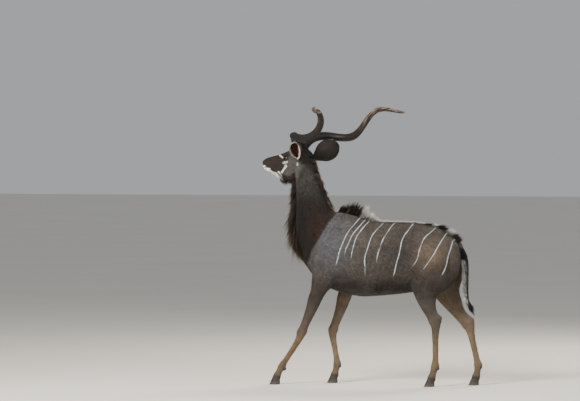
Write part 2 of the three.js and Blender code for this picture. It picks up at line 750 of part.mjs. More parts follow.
// Evenly spaced roots, alternating from side to side across the middle line.
function staggered(from, to, count, across, middle, describe) {
  return evenly(from, to, count).flatMap((place, row) => across.map((offset, column) => {
    const shift = row % 2 ? 0.5 : 0;
    const angle = middle + offset + shift * (across[1] - across[0]);
    return { place: place + (column % 2) * 0.04, angle, ...describe(place) };
  }));
}

function napeLocks(draw) {
  const rows = staggered(1.95, 6.3, 11, [-0.24, 0.04], Math.PI / 2,
    (place) => ({ lie: neckWays(place).down, size: NAPE_LOCK }));
  return locksOver(neckSkin, draw, rows);
}

function fringeLocks(draw) {
  const rows = staggered(1.15, 5.3, 12, [-0.36, -0.06, 0.24], -Math.PI / 2, (place) => {
    const { down, out } = neckWays(place);
    return { lie: down.addScaledVector(out, 0.2), size: FRINGE_LOCK };
  });
  return locksOver(neckSkin, draw, rows);
}

function chinLocks(draw) {
  const rows = staggered(118, 268, 5, [-0.32, 0.05], -Math.PI / 2,
    () => ({ lie: headForward.clone().multiplyScalar(-1), size: CHIN_LOCK }));
  return locksOver(headSkin, draw, rows);
}

function crestLocks(draw) {
  const back = vec(-1, 0, 0);
  const withers = staggered(300, -190, 10, [-0.12, 0.02], Math.PI / 2,
    () => ({ lie: back, size: WITHERS_LOCK }));
  const rump = staggered(-525, -650, 5, [-0.14, 0.02], Math.PI / 2,
    () => ({ lie: back, size: RUMP_LOCK }));
  return locksOver(trunkSkin, draw, [...withers, ...rump]);
}

function tailLocks(draw) {
  const down = vec(-0.05, 0, -1);
  const common = { lie: down, vary: 0.8 };
  const rows = evenly(1.4, 6.1, 4).flatMap((place, row) => [0, 1, 2, 3].map((quarter) => {
    const angle = (quarter + 0.5 + (row % 2) * 0.5) * (Math.PI / 2);
    return { ...common, place, angle, size: TAIL_LOCK };
  }));
  const tip = [0, 1, 2].map((third) => {
    const angle = third * ((2 * Math.PI) / 3) + 0.3;
    return { ...common, place: 6.8, angle, size: TAIL_TIP_LOCK };
  });
  return locksOver(tailSkin, draw, [...rows, ...tip]);
}

// The whole animal is joined first and then parted into its nodes.
const drawHair = makeDraw(7);
const flesh = join([trunk(), neck(), head(), ...LEGS.map(({ rows }) => leg(rows))]);
const behindNeck = behind(flesh, NECK_CUT);

function addTorso() {
  let torso = join([behindNeck, behind(tailCore(), TAIL_CUT)]);
  LEGS.forEach((limb) => {
    torso = torso.subtract(sideBlock(limb, 0));
  });
  const crest = behind(join(crestLocks(drawHair)), NECK_CUT);
  addNode('torso', join([largest(torso), crest]), COAT_GREY, 0.9);
}

function addNeck() {
  const pieces = [flesh, ...napeLocks(drawHair), ...fringeLocks(drawHair)];
  let solid = join(pieces.map((piece) => behind(ahead(piece, NECK_CUT), HEAD_CUT)));
  EARS.forEach((ear) => {
    solid = solid.subtract(earRoot(ear, GAP));
  });
  addNode('neck', solid, NECK_BROWN, 0.9);
}

function addHead() {
  let solid = join([
    ahead(flesh, HEAD_CUT),
    lips(),
    ...EARS.map((ear) => behind(earRoot(ear, 0), earPlane(ear))),
    ...chinLocks(drawHair).map((hair) => ahead(hair, HEAD_CUT)),
    ...SIDES.flatMap((side) => [
      behind(horn(side, 1.05), hornPlane(side)),
      eyeBall(side, LID_THICKNESS),
      nostril(side, 2.5),
    ]),
  ]);
  solid = solid.subtract(mouthGroove());
  SIDES.forEach((side) => {
    solid = solid.subtract(join([eyeBall(side, GAP), eyeOpening(side), nostril(side, 0)]));
  });
  addNode('head', solid, FACE_BROWN, 0.85);
}

function addLegs() {
  LEGS.forEach((limb) => {
    const { name, hoof: hoofName, rows } = limb;
    const cut = behindNeck.intersect(sideBlock(limb, GAP));
    const solid = join([largest(cut), ...dewClaws(rows)]);
    addNode(name, ahead(solid, coronetPlane(rows)), LEG_TAWNY, 0.88);
    addNode(hoofName, hoof(rows), HOOF_BLACK, 0.5);
  });
}

function addTail() {
  const solid = join([tailCore(), ...tailLocks(drawHair)]);
  const rump = join([trunk(GAP), leg(LEFT_HIND_LEG, GAP), leg(RIGHT_HIND_LEG, GAP)]);
  addNode('tail', ahead(solid, TAIL_CUT).subtract(rump), COAT_GREY, 0.9);
}

function addHornsEarsAndEyes() {
  SIDES.forEach((side) => {
    const name = side > 0 ? 'left' : 'right';
    addNode(`horn_${name}`, ahead(horn(side), hornPlane(side)), HORN_BROWN, 0.45);
    addNode(`eye_${name}`, eyeBall(side, 0), EYE_BLACK, 0.08);
  });
  EARS.forEach((ear) => {
    addNode(ear.name, ahead(earShell(ear), earPlane(ear)), EAR_BROWN, 0.85);
  });
}

addTorso();
addNeck();
addHead();
addLegs();
addTail();
addHornsEarsAndEyes();

export default group;
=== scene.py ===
import math

import bmesh
import bpy
import numpy as np
from mathutils import Matrix, Vector


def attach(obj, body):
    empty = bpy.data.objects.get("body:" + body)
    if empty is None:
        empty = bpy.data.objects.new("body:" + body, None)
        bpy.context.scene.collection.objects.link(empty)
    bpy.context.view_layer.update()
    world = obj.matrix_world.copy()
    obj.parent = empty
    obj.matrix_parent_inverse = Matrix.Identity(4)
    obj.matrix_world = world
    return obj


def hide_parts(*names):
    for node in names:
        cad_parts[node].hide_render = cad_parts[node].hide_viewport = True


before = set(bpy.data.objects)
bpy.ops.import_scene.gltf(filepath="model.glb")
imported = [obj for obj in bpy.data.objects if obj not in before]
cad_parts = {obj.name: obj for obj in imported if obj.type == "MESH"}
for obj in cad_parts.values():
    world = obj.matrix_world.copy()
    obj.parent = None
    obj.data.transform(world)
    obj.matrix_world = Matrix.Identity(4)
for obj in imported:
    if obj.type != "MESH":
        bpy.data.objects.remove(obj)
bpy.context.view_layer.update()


# Camera
# A long lens on the animal's left side, twelve degrees from square on and almost level.
# The photo's frame is 580 by 401 pixels, and the animal stands in it at 125 pixels to the metre.
PICTURE_WIDTH = 4.64
CAMERA_AZIMUTH = math.radians(192)
CAMERA_RISE = math.radians(1.5)
CAMERA_DISTANCE = 30.0
SENSOR_WIDTH = 36.0
PICTURE_CENTRE = Vector((0.609, -0.115, 1.476))


def add_object(name, data):
    thing = bpy.data.objects.new(name, data)
    bpy.context.scene.collection.objects.link(thing)
    return thing


def aimed(thing, place, target):
    thing.location = place
    thing.rotation_euler = (target - place).to_track_quat("-Z", "Y").to_euler()


lens = bpy.data.cameras.new("camera")
lens.sensor_width = SENSOR_WIDTH
lens.lens = SENSOR_WIDTH * CAMERA_DISTANCE / PICTURE_WIDTH
lens.clip_end = 200.0
camera = add_object("camera", lens)
toward_camera = Vector((
    math.sin(CAMERA_AZIMUTH) * math.cos(CAMERA_RISE),
    -math.cos(CAMERA_AZIMUTH) * math.cos(CAMERA_RISE),
    math.sin(CAMERA_RISE),
))
aimed(camera, PICTURE_CENTRE + toward_camera * CAMERA_DISTANCE, PICTURE_CENTRE)
bpy.context.scene.camera = camera


# Floor and light
# A plain pale floor under the hooves, a pale surround, and three large soft lamps:
# one high over the camera's left, a weaker one on its right, and one behind for the rim of the back.
FLOOR_HALF = 60.0
SURROUND_STRENGTH = 0.50
LAMP_TARGET = Vector((0.1, -0.2, 1.2))
# Each row is [name, place, size in metres, power in watts, colour].
LAMPS = [
    ["lamp_high", (2.6, 5.2, 5.2), 2.4, 860, 0xFFF8EE],
    ["lamp_fill", (-4.6, 3.6, 2.6), 3.0, 110, 0xF2F5FF],
    ["lamp_rim", (-2.4, -4.8, 5.0), 2.6, 420, 0xFFF6E8],
]


def linear(colour):
    """An sRGB hex colour as linear red, green, blue and alpha."""
    parts = np.array([colour >> 16 & 255, colour >> 8 & 255, colour & 255]) / 255
    parts = np.where(parts <= 0.04045, parts / 12.92, ((parts + 0.055) / 1.055) ** 2.4)
    return (*parts.tolist(), 1.0)


def add(tree, kind, inputs=(), **settings):
    """Adds a node, sets its properties, and fills its inputs with values or other nodes' outputs."""
    node = tree.nodes.new(kind)
    for name, value in settings.items():
        setattr(node, name, value)
    for socket, value in dict(inputs).items():
        if isinstance(value, bpy.types.NodeSocket):
            tree.links.new(value, node.inputs[socket])
        else:
            node.inputs[socket].default_value = value
    return node


def new_material(name):
    material = bpy.data.materials.new(name)
    material.use_nodes = True
    material.node_tree.nodes.clear()
    return material, material.node_tree


def finish_material(tree, shader):
    add(tree, "ShaderNodeOutputMaterial", {"Surface": shader.outputs["BSDF"]})


def floor_paint():
    """Matt studio paint, pale and even, with a faint unevenness of tone."""
    material, tree = new_material("matt floor paint")
    place = add(tree, "ShaderNodeTexCoord")
    cloud = add(tree, "ShaderNodeTexNoise", {"Vector": place.outputs["Object"], "Scale": 0.7})
    tone = add(tree, "ShaderNodeMix", {"Factor": cloud.outputs["Fac"]}, data_type="RGBA")
    tone.inputs[6].default_value = linear(0xDCD8D0)
    tone.inputs[7].default_value = linear(0xE4E1DA)
    paint = {"Base Color": tone.outputs[2], "Roughness": 0.9, "Specular IOR Level": 0.2}
    finish_material(tree, add(tree, "ShaderNodeBsdfPrincipled", paint))
    return material


floor_mesh = bpy.data.meshes.new("floor")
floor_mesh.from_pydata(
    [(x * FLOOR_HALF, y * FLOOR_HALF, 0) for x, y in ((-1, -1), (1, -1), (1, 1), (-1, 1))],
    [], [(0, 1, 2, 3)],
)
floor_mesh.materials.append(floor_paint())
add_object("floor", floor_mesh)

for name, place, size, power, colour in LAMPS:
    light = bpy.data.lights.new(name, "AREA")
    light.shape = "DISK"
    light.size = size
    light.energy = power
    light.color = linear(colour)[:3]
    aimed(add_object(name, light), Vector(place), LAMP_TARGET)

surround = bpy.data.worlds.new("surround")
surround.use_nodes = True
surround_light = surround.node_tree.nodes["Background"].inputs
surround_light["Color"].default_value = linear(0xE9ECEF)
surround_light["Strength"].default_value = SURROUND_STRENGTH
bpy.context.scene.world = surround


# Hide
# The whole animal's skin, one closed surface of flesh under the short coat: trunk, neck, head,
# legs and tail are joined, smoothed where they meet, and shaped over bone and muscle.

# The skin lies this deep under the coat on the body, the head and the legs.
COAT_DEPTH = 0.004
HEAD_COAT_DEPTH = 0.002
LEG_COAT_DEPTH = 0.0015
# The size of the skin's small faces on the body and on the head.
BODY_VOXEL = 0.0090
HEAD_VOXEL = 0.0036
FLOOR_CENTRE = np.array([0.056, 0.256, 0.0])
TRUNK_WIDEST = 0.46

# Trunk: [along, top, bottom, half width, squareness above, below].
TRUNK_ROWS = [
    [-0.694, 1.105, 1.020, 0.042, 2, 2],
    [-0.674, 1.150, 0.930, 0.088, 2, 2],
    [-0.632, 1.198, 0.868, 0.126, 2, 2],
    [-0.560, 1.248, 0.822, 0.158, 2, 2.1],
    [-0.460, 1.284, 0.782, 0.180, 2, 2.2],
    [-0.350, 1.301, 0.750, 0.194, 1.95, 2.2],
    [-0.240, 1.306, 0.733, 0.206, 1.9, 2.2],
    [-0.120, 1.306, 0.720, 0.213, 1.85, 2.2],
    [0.000, 1.312, 0.709, 0.212, 1.75, 2.2],
    [0.110, 1.345, 0.704, 0.200, 1.6, 2.2],
    [0.200, 1.378, 0.718, 0.184, 1.5, 2.1],
    [0.285, 1.392, 0.738, 0.170, 1.5, 2.1],
    [0.360, 1.374, 0.764, 0.160, 1.6, 2],
    [0.430, 1.322, 0.805, 0.148, 1.8, 2],
    [0.495, 1.240, 0.862, 0.128, 2, 2],
    [0.545, 1.150, 0.930, 0.096, 2, 2],
    [0.572, 1.085, 0.985, 0.050, 2, 2],
]

# Neck: [along, up, half depth, half width, slope in degrees, turn in degrees].
NECK_ROWS = [
    [0.400, 1.150, 0.235, 0.128, 30, 0],
    [0.480, 1.255, 0.200, 0.122, 44, 0],
    [0.512, 1.372, 0.160, 0.108, 58, 0],
    [0.528, 1.492, 0.125, 0.094, 68, 0],
    [0.550, 1.608, 0.102, 0.083, 73, -4],
    [0.568, 1.706, 0.089, 0.075, 76, -12],
    [0.576, 1.785, 0.080, 0.067, 78, -22],
    [0.580, 1.822, 0.068, 0.057, 79, -26],
]

# Head, from the poll to the nose: [forward, top, bottom, half width, widest, squareness above, below].
HEAD_ROWS = [
    [-0.088, -0.075, -0.135, 0.032, 0.60, 2, 2],
    [-0.072, -0.046, -0.172, 0.052, 0.60, 2, 2],
    [-0.042, -0.022, -0.200, 0.063, 0.60, 2.2, 2],
    [0.000, -0.008, -0.214, 0.068, 0.60, 2.5, 1.9],
    [0.050, 0.000, -0.220, 0.069, 0.62, 2.6, 1.8],
    [0.100, 0.002, -0.220, 0.067, 0.66, 2.5, 1.7],
    [0.140, 0.002, -0.212, 0.062, 0.66, 2.4, 1.7],
    [0.180, 0.003, -0.199, 0.055, 0.62, 2.3, 1.7],
    [0.230, 0.006, -0.173, 0.047, 0.58, 2.3, 1.8],
    [0.280, 0.009, -0.144, 0.042, 0.54, 2.3, 1.9],
    [0.325, 0.012, -0.116, 0.040, 0.52, 2.3, 2],
    [0.358, 0.013, -0.100, 0.041, 0.52, 2.3, 2],
    [0.380, 0.010, -0.092, 0.039, 0.52, 2.2, 2],
    [0.396, 0.001, -0.076, 0.029, 0.54, 2.1, 2],
    [0.405, -0.013, -0.054, 0.014, 0.56, 2, 2],
]

# Legs, from inside the trunk to the hoof: [along, up, half depth, half width, out from the middle].
LEG_ROWS = {
    "foreleg_left": [
        [0.300, 1.230, 0.070, 0.040, 0.088], [0.330, 1.100, 0.122, 0.058, 0.104],
        [0.370, 0.960, 0.122, 0.063, 0.112], [0.408, 0.840, 0.092, 0.056, 0.118],
        [0.443, 0.735, 0.063, 0.047, 0.122], [0.485, 0.630, 0.048, 0.040, 0.124],
        [0.533, 0.515, 0.037, 0.034, 0.124], [0.561, 0.450, 0.035, 0.034, 0.124],
        [0.577, 0.410, 0.037, 0.035, 0.124], [0.599, 0.360, 0.029, 0.027, 0.124],
        [0.648, 0.280, 0.025, 0.022, 0.124], [0.706, 0.192, 0.026, 0.022, 0.124],
        [0.734, 0.148, 0.032, 0.027, 0.124], [0.758, 0.103, 0.027, 0.025, 0.124],
        [0.776, 0.064, 0.035, 0.031, 0.124], [0.785, 0.030, 0.030, 0.026, 0.124],
    ],
    "foreleg_right": [
        [0.290, 1.230, 0.070, 0.040, -0.088], [0.288, 1.100, 0.120, 0.058, -0.104],
        [0.270, 0.960, 0.118, 0.063, -0.112], [0.245, 0.845, 0.090, 0.056, -0.118],
        [0.258, 0.740, 0.064, 0.047, -0.122], [0.291, 0.635, 0.049, 0.040, -0.124],
        [0.331, 0.525, 0.038, 0.034, -0.124], [0.357, 0.458, 0.035, 0.034, -0.124],
        [0.369, 0.416, 0.037, 0.035, -0.124], [0.366, 0.362, 0.029, 0.027, -0.124],
        [0.352, 0.282, 0.025, 0.022, -0.124], [0.338, 0.203, 0.026, 0.022, -0.124],
        [0.334, 0.160, 0.032, 0.027, -0.124], [0.343, 0.108, 0.027, 0.025, -0.124],
        [0.354, 0.064, 0.035, 0.031, -0.124], [0.362, 0.030, 0.030, 0.026, -0.124],
    ],
    "hind_leg_left": [
        [-0.545, 1.190, 0.090, 0.044, 0.076], [-0.545, 1.080, 0.165, 0.068, 0.092],
        [-0.512, 0.950, 0.192, 0.076, 0.104], [-0.458, 0.840, 0.160, 0.066, 0.112],
        [-0.432, 0.748, 0.108, 0.052, 0.116], [-0.448, 0.660, 0.070, 0.040, 0.118],
        [-0.478, 0.588, 0.052, 0.033, 0.118], [-0.508, 0.527, 0.052, 0.034, 0.118],
        [-0.513, 0.468, 0.037, 0.029, 0.118], [-0.512, 0.400, 0.029, 0.024, 0.118],
        [-0.512, 0.310, 0.027, 0.023, 0.118], [-0.512, 0.215, 0.027, 0.023, 0.118],
        [-0.508, 0.167, 0.034, 0.028, 0.118], [-0.494, 0.112, 0.028, 0.026, 0.118],
        [-0.480, 0.064, 0.036, 0.032, 0.118], [-0.472, 0.030, 0.031, 0.027, 0.118],
    ],
    "hind_leg_right": [
        [-0.550, 1.190, 0.090, 0.044, -0.076], [-0.560, 1.080, 0.150, 0.068, -0.092],
        [-0.555, 0.950, 0.165, 0.076, -0.104], [-0.548, 0.840, 0.148, 0.066, -0.112],
        [-0.568, 0.740, 0.110, 0.052, -0.116], [-0.618, 0.645, 0.074, 0.040, -0.118],
        [-0.672, 0.566, 0.054, 0.033, -0.118], [-0.736, 0.492, 0.052, 0.034, -0.118],
        [-0.754, 0.436, 0.037, 0.029, -0.118], [-0.768, 0.375, 0.029, 0.024, -0.118],
        [-0.786, 0.300, 0.027, 0.023, -0.118], [-0.806, 0.210, 0.027, 0.023, -0.118],
        [-0.815, 0.167, 0.034, 0.028, -0.118], [-0.811, 0.112, 0.028, 0.026, -0.118],
        [-0.800, 0.064, 0.036, 0.032, -0.118], [-0.794, 0.030, 0.031, 0.027, -0.118],
    ],
}

# Tail's dock: [along, up, half depth, half width, out from the middle].
TAIL_ROWS = [
    [-0.660, 1.118, 0.024, 0.022, 0], [-0.706, 1.072, 0.026, 0.024, 0], [-0.732, 1.000, 0.020, 0.020, 0],
    [-0.735, 0.920, 0.016, 0.017, 0], [-0.734, 0.830, 0.014, 0.015, 0], [-0.738, 0.740, 0.013, 0.014, 0],
    [-0.758, 0.660, 0.011, 0.012, 0], [-0.778, 0.610, 0.006, 0.006, 0],
]

# The head's place and turn, as three directions: to the nose, to the animal's left, and up.
HEAD_PLACE = np.array([0.619, -0.030, 1.902])
HEAD_TURN = math.radians(28)
NOSE_DROP = math.radians(16.8)
HEAD_WAYS = np.array([
    [math.cos(HEAD_TURN) * math.cos(NOSE_DROP), -math.sin(HEAD_TURN) * math.cos(NOSE_DROP),
     -math.sin(NOSE_DROP)],
    [math.sin(HEAD_TURN), math.cos(HEAD_TURN), 0],
    [math.cos(HEAD_TURN) * math.sin(NOSE_DROP), -math.sin(HEAD_TURN) * math.sin(NOSE_DROP),
     math.cos(NOSE_DROP)],
])
EYE_RADIUS = 0.020
EYE_PLACE = np.array([0.119, 0.047, -0.058])
LID_THICKNESS = 0.004
EAR_PLACE = np.array([-0.030, 0.064, -0.118])
EAR_WAYS = {1: (-0.4715, 0.662, 0.578), -1: (-0.808, -0.513, 0.293)}
HORN_SPACING = 0.046
HORN_ROOT_WAY = np.array([-0.523, 0.429, 0.737])

# The neck is cut here, below the jaw, to join the finely made head to the body.
GRAFT_PLACE = Vector((0.540, 0.0, 1.560))
GRAFT_WAY = Vector((0.326, 0.0, 0.946))
GRAFT_GAP = 0.006
RIM_MERGE = 0.0012


def between(rows, places):
    """Rows of [place, value, value ...] read at any places, on a smooth curve through the rows."""
    rows = np.asarray(rows, float)
    places = np.atleast_1d(places)
    at = np.clip(np.searchsorted(rows[:, 0], places) - 1, 0, len(rows) - 2)
    start, end = rows[at], rows[at + 1]
    before = rows[np.maximum(at - 1, 0)]
    after = rows[np.minimum(at + 2, len(rows) - 1)]
    span = end[:, :1] - start[:, :1]
    t = (places[:, None] - start[:, :1]) / span
    slope_in = span * (end - before) / (end[:, :1] - before[:, :1])
    slope_out = span * (after - start) / (after[:, :1] - start[:, :1])
    return ((2 * t**3 - 3 * t**2 + 1) * start + (t**3 - 2 * t**2 + t) * slope_in
            + (3 * t**2 - 2 * t**3) * end + (t**3 - t**2) * slope_out)


def numbered(rows):
    return [[i, *row] for i, row in enumerate(rows)]


def rounded(value, squareness):
    return np.sign(value) * np.abs(value) ** (2 / squareness)


def round_angles(count):
    return np.arange(count) * 2 * math.pi / count


def section(top, bottom, width, widest, upper, lower, angles, grown):
    """Across and up for a section that is widest at a share of its height."""
    middle = bottom + (top - bottom) * widest
    sine = np.sin(angles)
    power = np.where(sine > 0, upper, lower)
    height = np.where(sine > 0, top - middle, middle - bottom) + grown
    return (width + grown) * rounded(np.cos(angles), power), middle + height * rounded(sine, power)


def trunk_form(places, angles, grown=0.0):
    _, top, bottom, width, upper, lower = between(TRUNK_ROWS, places).T[..., None]
    across, up = section(top, bottom, width, TRUNK_WIDEST, upper, lower, angles, grown)
    return np.stack([np.broadcast_to(places[:, None], across.shape), across, up], -1)


def neck_form(places, angles, grown=0.0):
    _, along, up, depth, width, slope, turn = between(numbered(NECK_ROWS), places).T[..., None]
    slope, turn = np.radians(slope), np.radians(turn)
    deep = -np.sin(angles) * (depth + grown)
    wide = np.cos(angles) * (width + grown) * (1 - 0.1 * np.sin(angles))
    x = along + np.sin(slope) * np.cos(turn) * deep - np.sin(turn) * wide
    y = np.sin(slope) * np.sin(turn) * deep + np.cos(turn) * wide
    return np.stack([x, y, up - np.cos(slope) * deep], -1)


def from_head(points):
    return HEAD_PLACE + points @ HEAD_WAYS


def to_head(points):
    return (points - HEAD_PLACE) @ HEAD_WAYS.T


def head_section(places, angles, grown=0.0):
    _, top, bottom, width, widest, upper, lower = between(HEAD_ROWS, places).T[..., None]
    across, up = section(top, bottom, width, widest, upper, lower, angles, grown)
    return np.stack([np.broadcast_to(places[:, None], across.shape), across, up], -1)


def leg_form(rows, places, angles, grown=0.0):
    rows = numbered(rows)
    _, along, up, depth, width, out = between(rows, places).T[..., None]
    before = between(rows, np.maximum(places - 0.3, 0))
    after = between(rows, np.minimum(places + 0.3, len(rows) - 1))
    line = (after - before)[:, 1:3]
    line /= np.linalg.norm(line, axis=1, keepdims=True)
    deep = (depth + grown) * np.sin(angles)
    wide = (width + grown) * np.cos(angles)
    return np.stack([along - line[:, 1:] * deep, out + wide, up + line[:, :1] * deep], -1)


def steps(first, last, count):
    return np.linspace(first, last, count)


def stations(rows, parts):
    """The rows' places with each stretch between them divided."""
    rows = np.array([row[0] for row in rows])
    return np.interp(np.arange((len(rows) - 1) * parts + 1) / parts, np.arange(len(rows)), rows)


def tube_faces(rings, sides, first=0):
    """Faces of a closed tube of rings, its two ends closed by one face each."""
    faces = []
    for ring in range(rings - 1):
        for side in range(sides):
            a = first + ring * sides + side
            b = first + ring * sides + (side + 1) % sides
            faces.append((a, b, b + sides, a + sides))
    last = first + (rings - 1) * sides
    faces.append(tuple(range(first + sides - 1, first - 1, -1)))
    faces.append(tuple(range(last, last + sides)))
    return faces


def joined_mesh(name, grids):
    """One mesh of closed tubes, each a grid of rings of points, all faces pointing out."""
    points, faces = [], []
    for grid in grids:
        faces += tube_faces(grid.shape[0], grid.shape[1], sum(len(part) for part in points))
        points.append(grid.reshape(-1, 3))
    mesh = bpy.data.meshes.new(name)
    mesh.from_pydata(np.concatenate(points).tolist(), [], faces)
    shell = bmesh.new()
    shell.from_mesh(mesh)
    bmesh.ops.recalc_face_normals(shell, faces=shell.faces[:])
    shell.to_mesh(mesh)
    shell.free()
    return mesh


def ball(centre, radii, rings=16, sides=24):
    """A grid of rings for an egg-shaped swelling, in the frame of its centre."""
    fall = steps(0.02, math.pi - 0.02, rings)[:, None]
    turn = round_angles(sides)[None]
    x = np.cos(fall) * np.ones_like(turn)
    return np.stack([x, np.sin(fall) * np.cos(turn), np.sin(fall) * np.sin(turn)], -1) * radii + centre


def stub(start, way, lengths, radii, sides=20):
    """A grid of rings for a short round root along a direction."""
    way = np.array(way) / np.linalg.norm(way)
    first = np.cross(way, [0.3, 0.5, 0.8])
    first /= np.linalg.norm(first)
    second = np.cross(way, first)
    turn = round_angles(sides)[None, :, None]
    round_way = np.cos(turn) * first + np.sin(turn) * second
    centre = np.array(start) + np.array(lengths)[:, None, None] * way
    return centre + np.array(radii)[:, None, None] * round_way


def head_grids():
    """The head with its lids, horn bases and the fleshy roots of the ears."""
    grids = [head_section(stations(HEAD_ROWS, 4), round_angles(64), -HEAD_COAT_DEPTH)]
    for side in (1, -1):
        mirror = np.array([1, side, 1])
        lids = EYE_RADIUS + LID_THICKNESS
        grids.append(ball(EYE_PLACE * mirror, lids))
        grids.append(stub([0.0, side * HORN_SPACING, 0.0], HORN_ROOT_WAY * mirror,
                          [-0.05, -0.012, 0.010], [0.042, 0.0465, 0.043]))
        grids.append(stub(EAR_PLACE * mirror, EAR_WAYS[side], [-0.042, -0.010, 0.012, 0.030],
                          [0.033, 0.033, 0.028, 0.022]))
    return [from_head(grid) for grid in grids]


def flesh_grids(body):
    grids = [
        neck_form(steps(0, len(NECK_ROWS) - 1, 60), round_angles(64), -COAT_DEPTH),
        *head_grids(),
    ]
    if body:
        grids.append(trunk_form(stations(TRUNK_ROWS, 4), round_angles(72), -COAT_DEPTH))
        for rows in LEG_ROWS.values():
            places = steps(0, len(rows) - 1, 90)
            grids.append(leg_form(rows, places, round_angles(28), -LEG_COAT_DEPTH))
        grids.append(leg_form(TAIL_ROWS, steps(0, len(TAIL_ROWS) - 1, 40), round_angles(20)))
    return grids


def fused(name, grids, voxel):
    """The tubes joined into one skin of even small faces."""
    thing = add_object(name, joined_mesh(name, grids))
    remesh = thing.modifiers.new("join", "REMESH")
    remesh.mode = "VOXEL"
    remesh.voxel_size = voxel
    result = bpy.data.meshes.new_from_object(thing.evaluated_get(bpy.context.evaluated_depsgraph_get()))
    bpy.data.objects.remove(thing)
    return result


def cut_at_graft(mesh, keep_head):
    part = bmesh.new()
    part.from_mesh(mesh)
    shift = GRAFT_GAP / 2 if keep_head else -GRAFT_GAP / 2
    bmesh.ops.bisect_plane(
        part, geom=part.verts[:] + part.edges[:] + part.faces[:], dist=1e-5,
        plane_co=GRAFT_PLACE + GRAFT_WAY * shift, plane_no=GRAFT_WAY,
        clear_outer=not keep_head, clear_inner=keep_head,
    )
    rim = [vertex for vertex in part.verts if vertex.is_boundary]
    bmesh.ops.remove_doubles(part, verts=rim, dist=RIM_MERGE)
    cut = bpy.data.meshes.new("cut")
    part.to_mesh(cut)
    part.free()
    return cut


def grafted():
    """The finely made head joined to the body round the neck, as points and faces."""
    whole = bmesh.new()
    whole.from_mesh(cut_at_graft(fused("body_flesh", flesh_grids(True), BODY_VOXEL), False))
    whole.from_mesh(cut_at_graft(fused("head_flesh", flesh_grids(False), HEAD_VOXEL), True))
    rims = [edge for edge in whole.edges if edge.is_boundary]
    bmesh.ops.bridge_loops(whole, edges=rims)
    bmesh.ops.recalc_face_normals(whole, faces=whole.faces[:])
    mesh = bpy.data.meshes.new("kudu_hide")
    whole.to_mesh(mesh)
    whole.free()
    return mesh


# Bone and muscle under the hide, on both sides alike:
# [along, out from the middle, up, reach along, reach out, reach up, height].
SWELLINGS = [
    [0.315, 0.15, 1.290, 0.055, 0.12, 0.090, 0.007],
    [0.360, 0.15, 1.160, 0.050, 0.12, 0.090, 0.006],
    [0.440, 0.15, 1.030, 0.060, 0.12, 0.060, 0.008],
    [0.255, 0.17, 0.985, 0.090, 0.12, 0.090, 0.009],
    [0.150, 0.19, 1.080, 0.050, 0.14, 0.130, -0.009],
    [0.240, 0.15, 1.210, 0.028, 0.12, 0.090, -0.006],
    [0.455, 0.12, 1.215, 0.030, 0.12, 0.080, -0.010],
    [0.520, 0.10, 1.060, 0.030, 0.12, 0.060, -0.008],
    [0.575, 0.04, 1.010, 0.040, 0.05, 0.060, 0.010],
    [-0.040, 0.20, 1.000, 0.170, 0.14, 0.120, 0.006],
    [-0.330, 0.17, 1.070, 0.075, 0.14, 0.085, -0.018],
    [-0.405, 0.14, 1.215, 0.040, 0.08, 0.035, 0.010],
    [-0.520, 0.11, 1.215, 0.060, 0.08, 0.030, -0.006],
    [-0.655, 0.07, 1.115, 0.040, 0.06, 0.035, 0.008],
    [-0.545, 0.17, 1.030, 0.080, 0.12, 0.100, 0.007],
    [-0.470, 0.17, 0.900, 0.070, 0.12, 0.080, 0.007],
    [-0.635, 0.13, 0.960, 0.024, 0.10, 0.120, -0.009],
    [-0.330, 0.12, 0.800, 0.060, 0.10, 0.050, -0.008],
    [0.120, 0.13, 0.790, 0.050, 0.10, 0.050, -0.006],
]
MUSCLE = 1.35
RIB_SPACING = 0.046
RIB_HEIGHT = 0.0017
RIB_CAGE = [-0.05, 0.20, 0.98]
RIB_REACH = [0.16, 0.15, 0.16]
# Folds of loose skin: [middle along, up, reach along, reach up, slant, spacing, height].
FOLDS = [
    [0.330, 1.310, 0.060, 0.080, 0.55, 0.034, 0.0028],
    [0.225, 1.130, 0.050, 0.110, -0.45, 0.040, 0.0018],
    [-0.300, 0.900, 0.060, 0.080, 0.75, 0.042, 0.0012],
    [0.560, 1.480, 0.050, 0.200, 0.30, 0.042, 0.0020],
]

# The same on the legs: [row of the leg, angle round it in degrees (90 is the front), reach, height].
FORELEG_SWELLINGS = [
    [3.2, -90, 0.040, 0.010], [4.6, 60, 0.060, 0.006], [4.6, 120, 0.060, 0.005],
    [7.7, 90, 0.026, 0.005], [7.3, -90, 0.022, 0.007], [12.1, -90, 0.022, 0.006],
    *[[row, angle, 0.013, -0.0045] for row in (9.2, 9.8, 10.4, 11.0, 11.5) for angle in (-30, -150)],
]
HIND_LEG_SWELLINGS = [
    [3.7, 90, 0.060, 0.010], [5.0, -90, 0.050, 0.006], [6.9, -90, 0.022, 0.012],
    [7.2, 90, 0.022, 0.004], [12.1, -90, 0.022, 0.006],
    *[[row, angle, 0.022, -0.009] for row in (5.6, 6.1, 6.6) for angle in (-35, -145)],
    *[[row, angle, 0.013, -0.0045] for row in (8.6, 9.2, 9.8, 10.4, 11.0, 11.5) for angle in (-30, -150)],
]

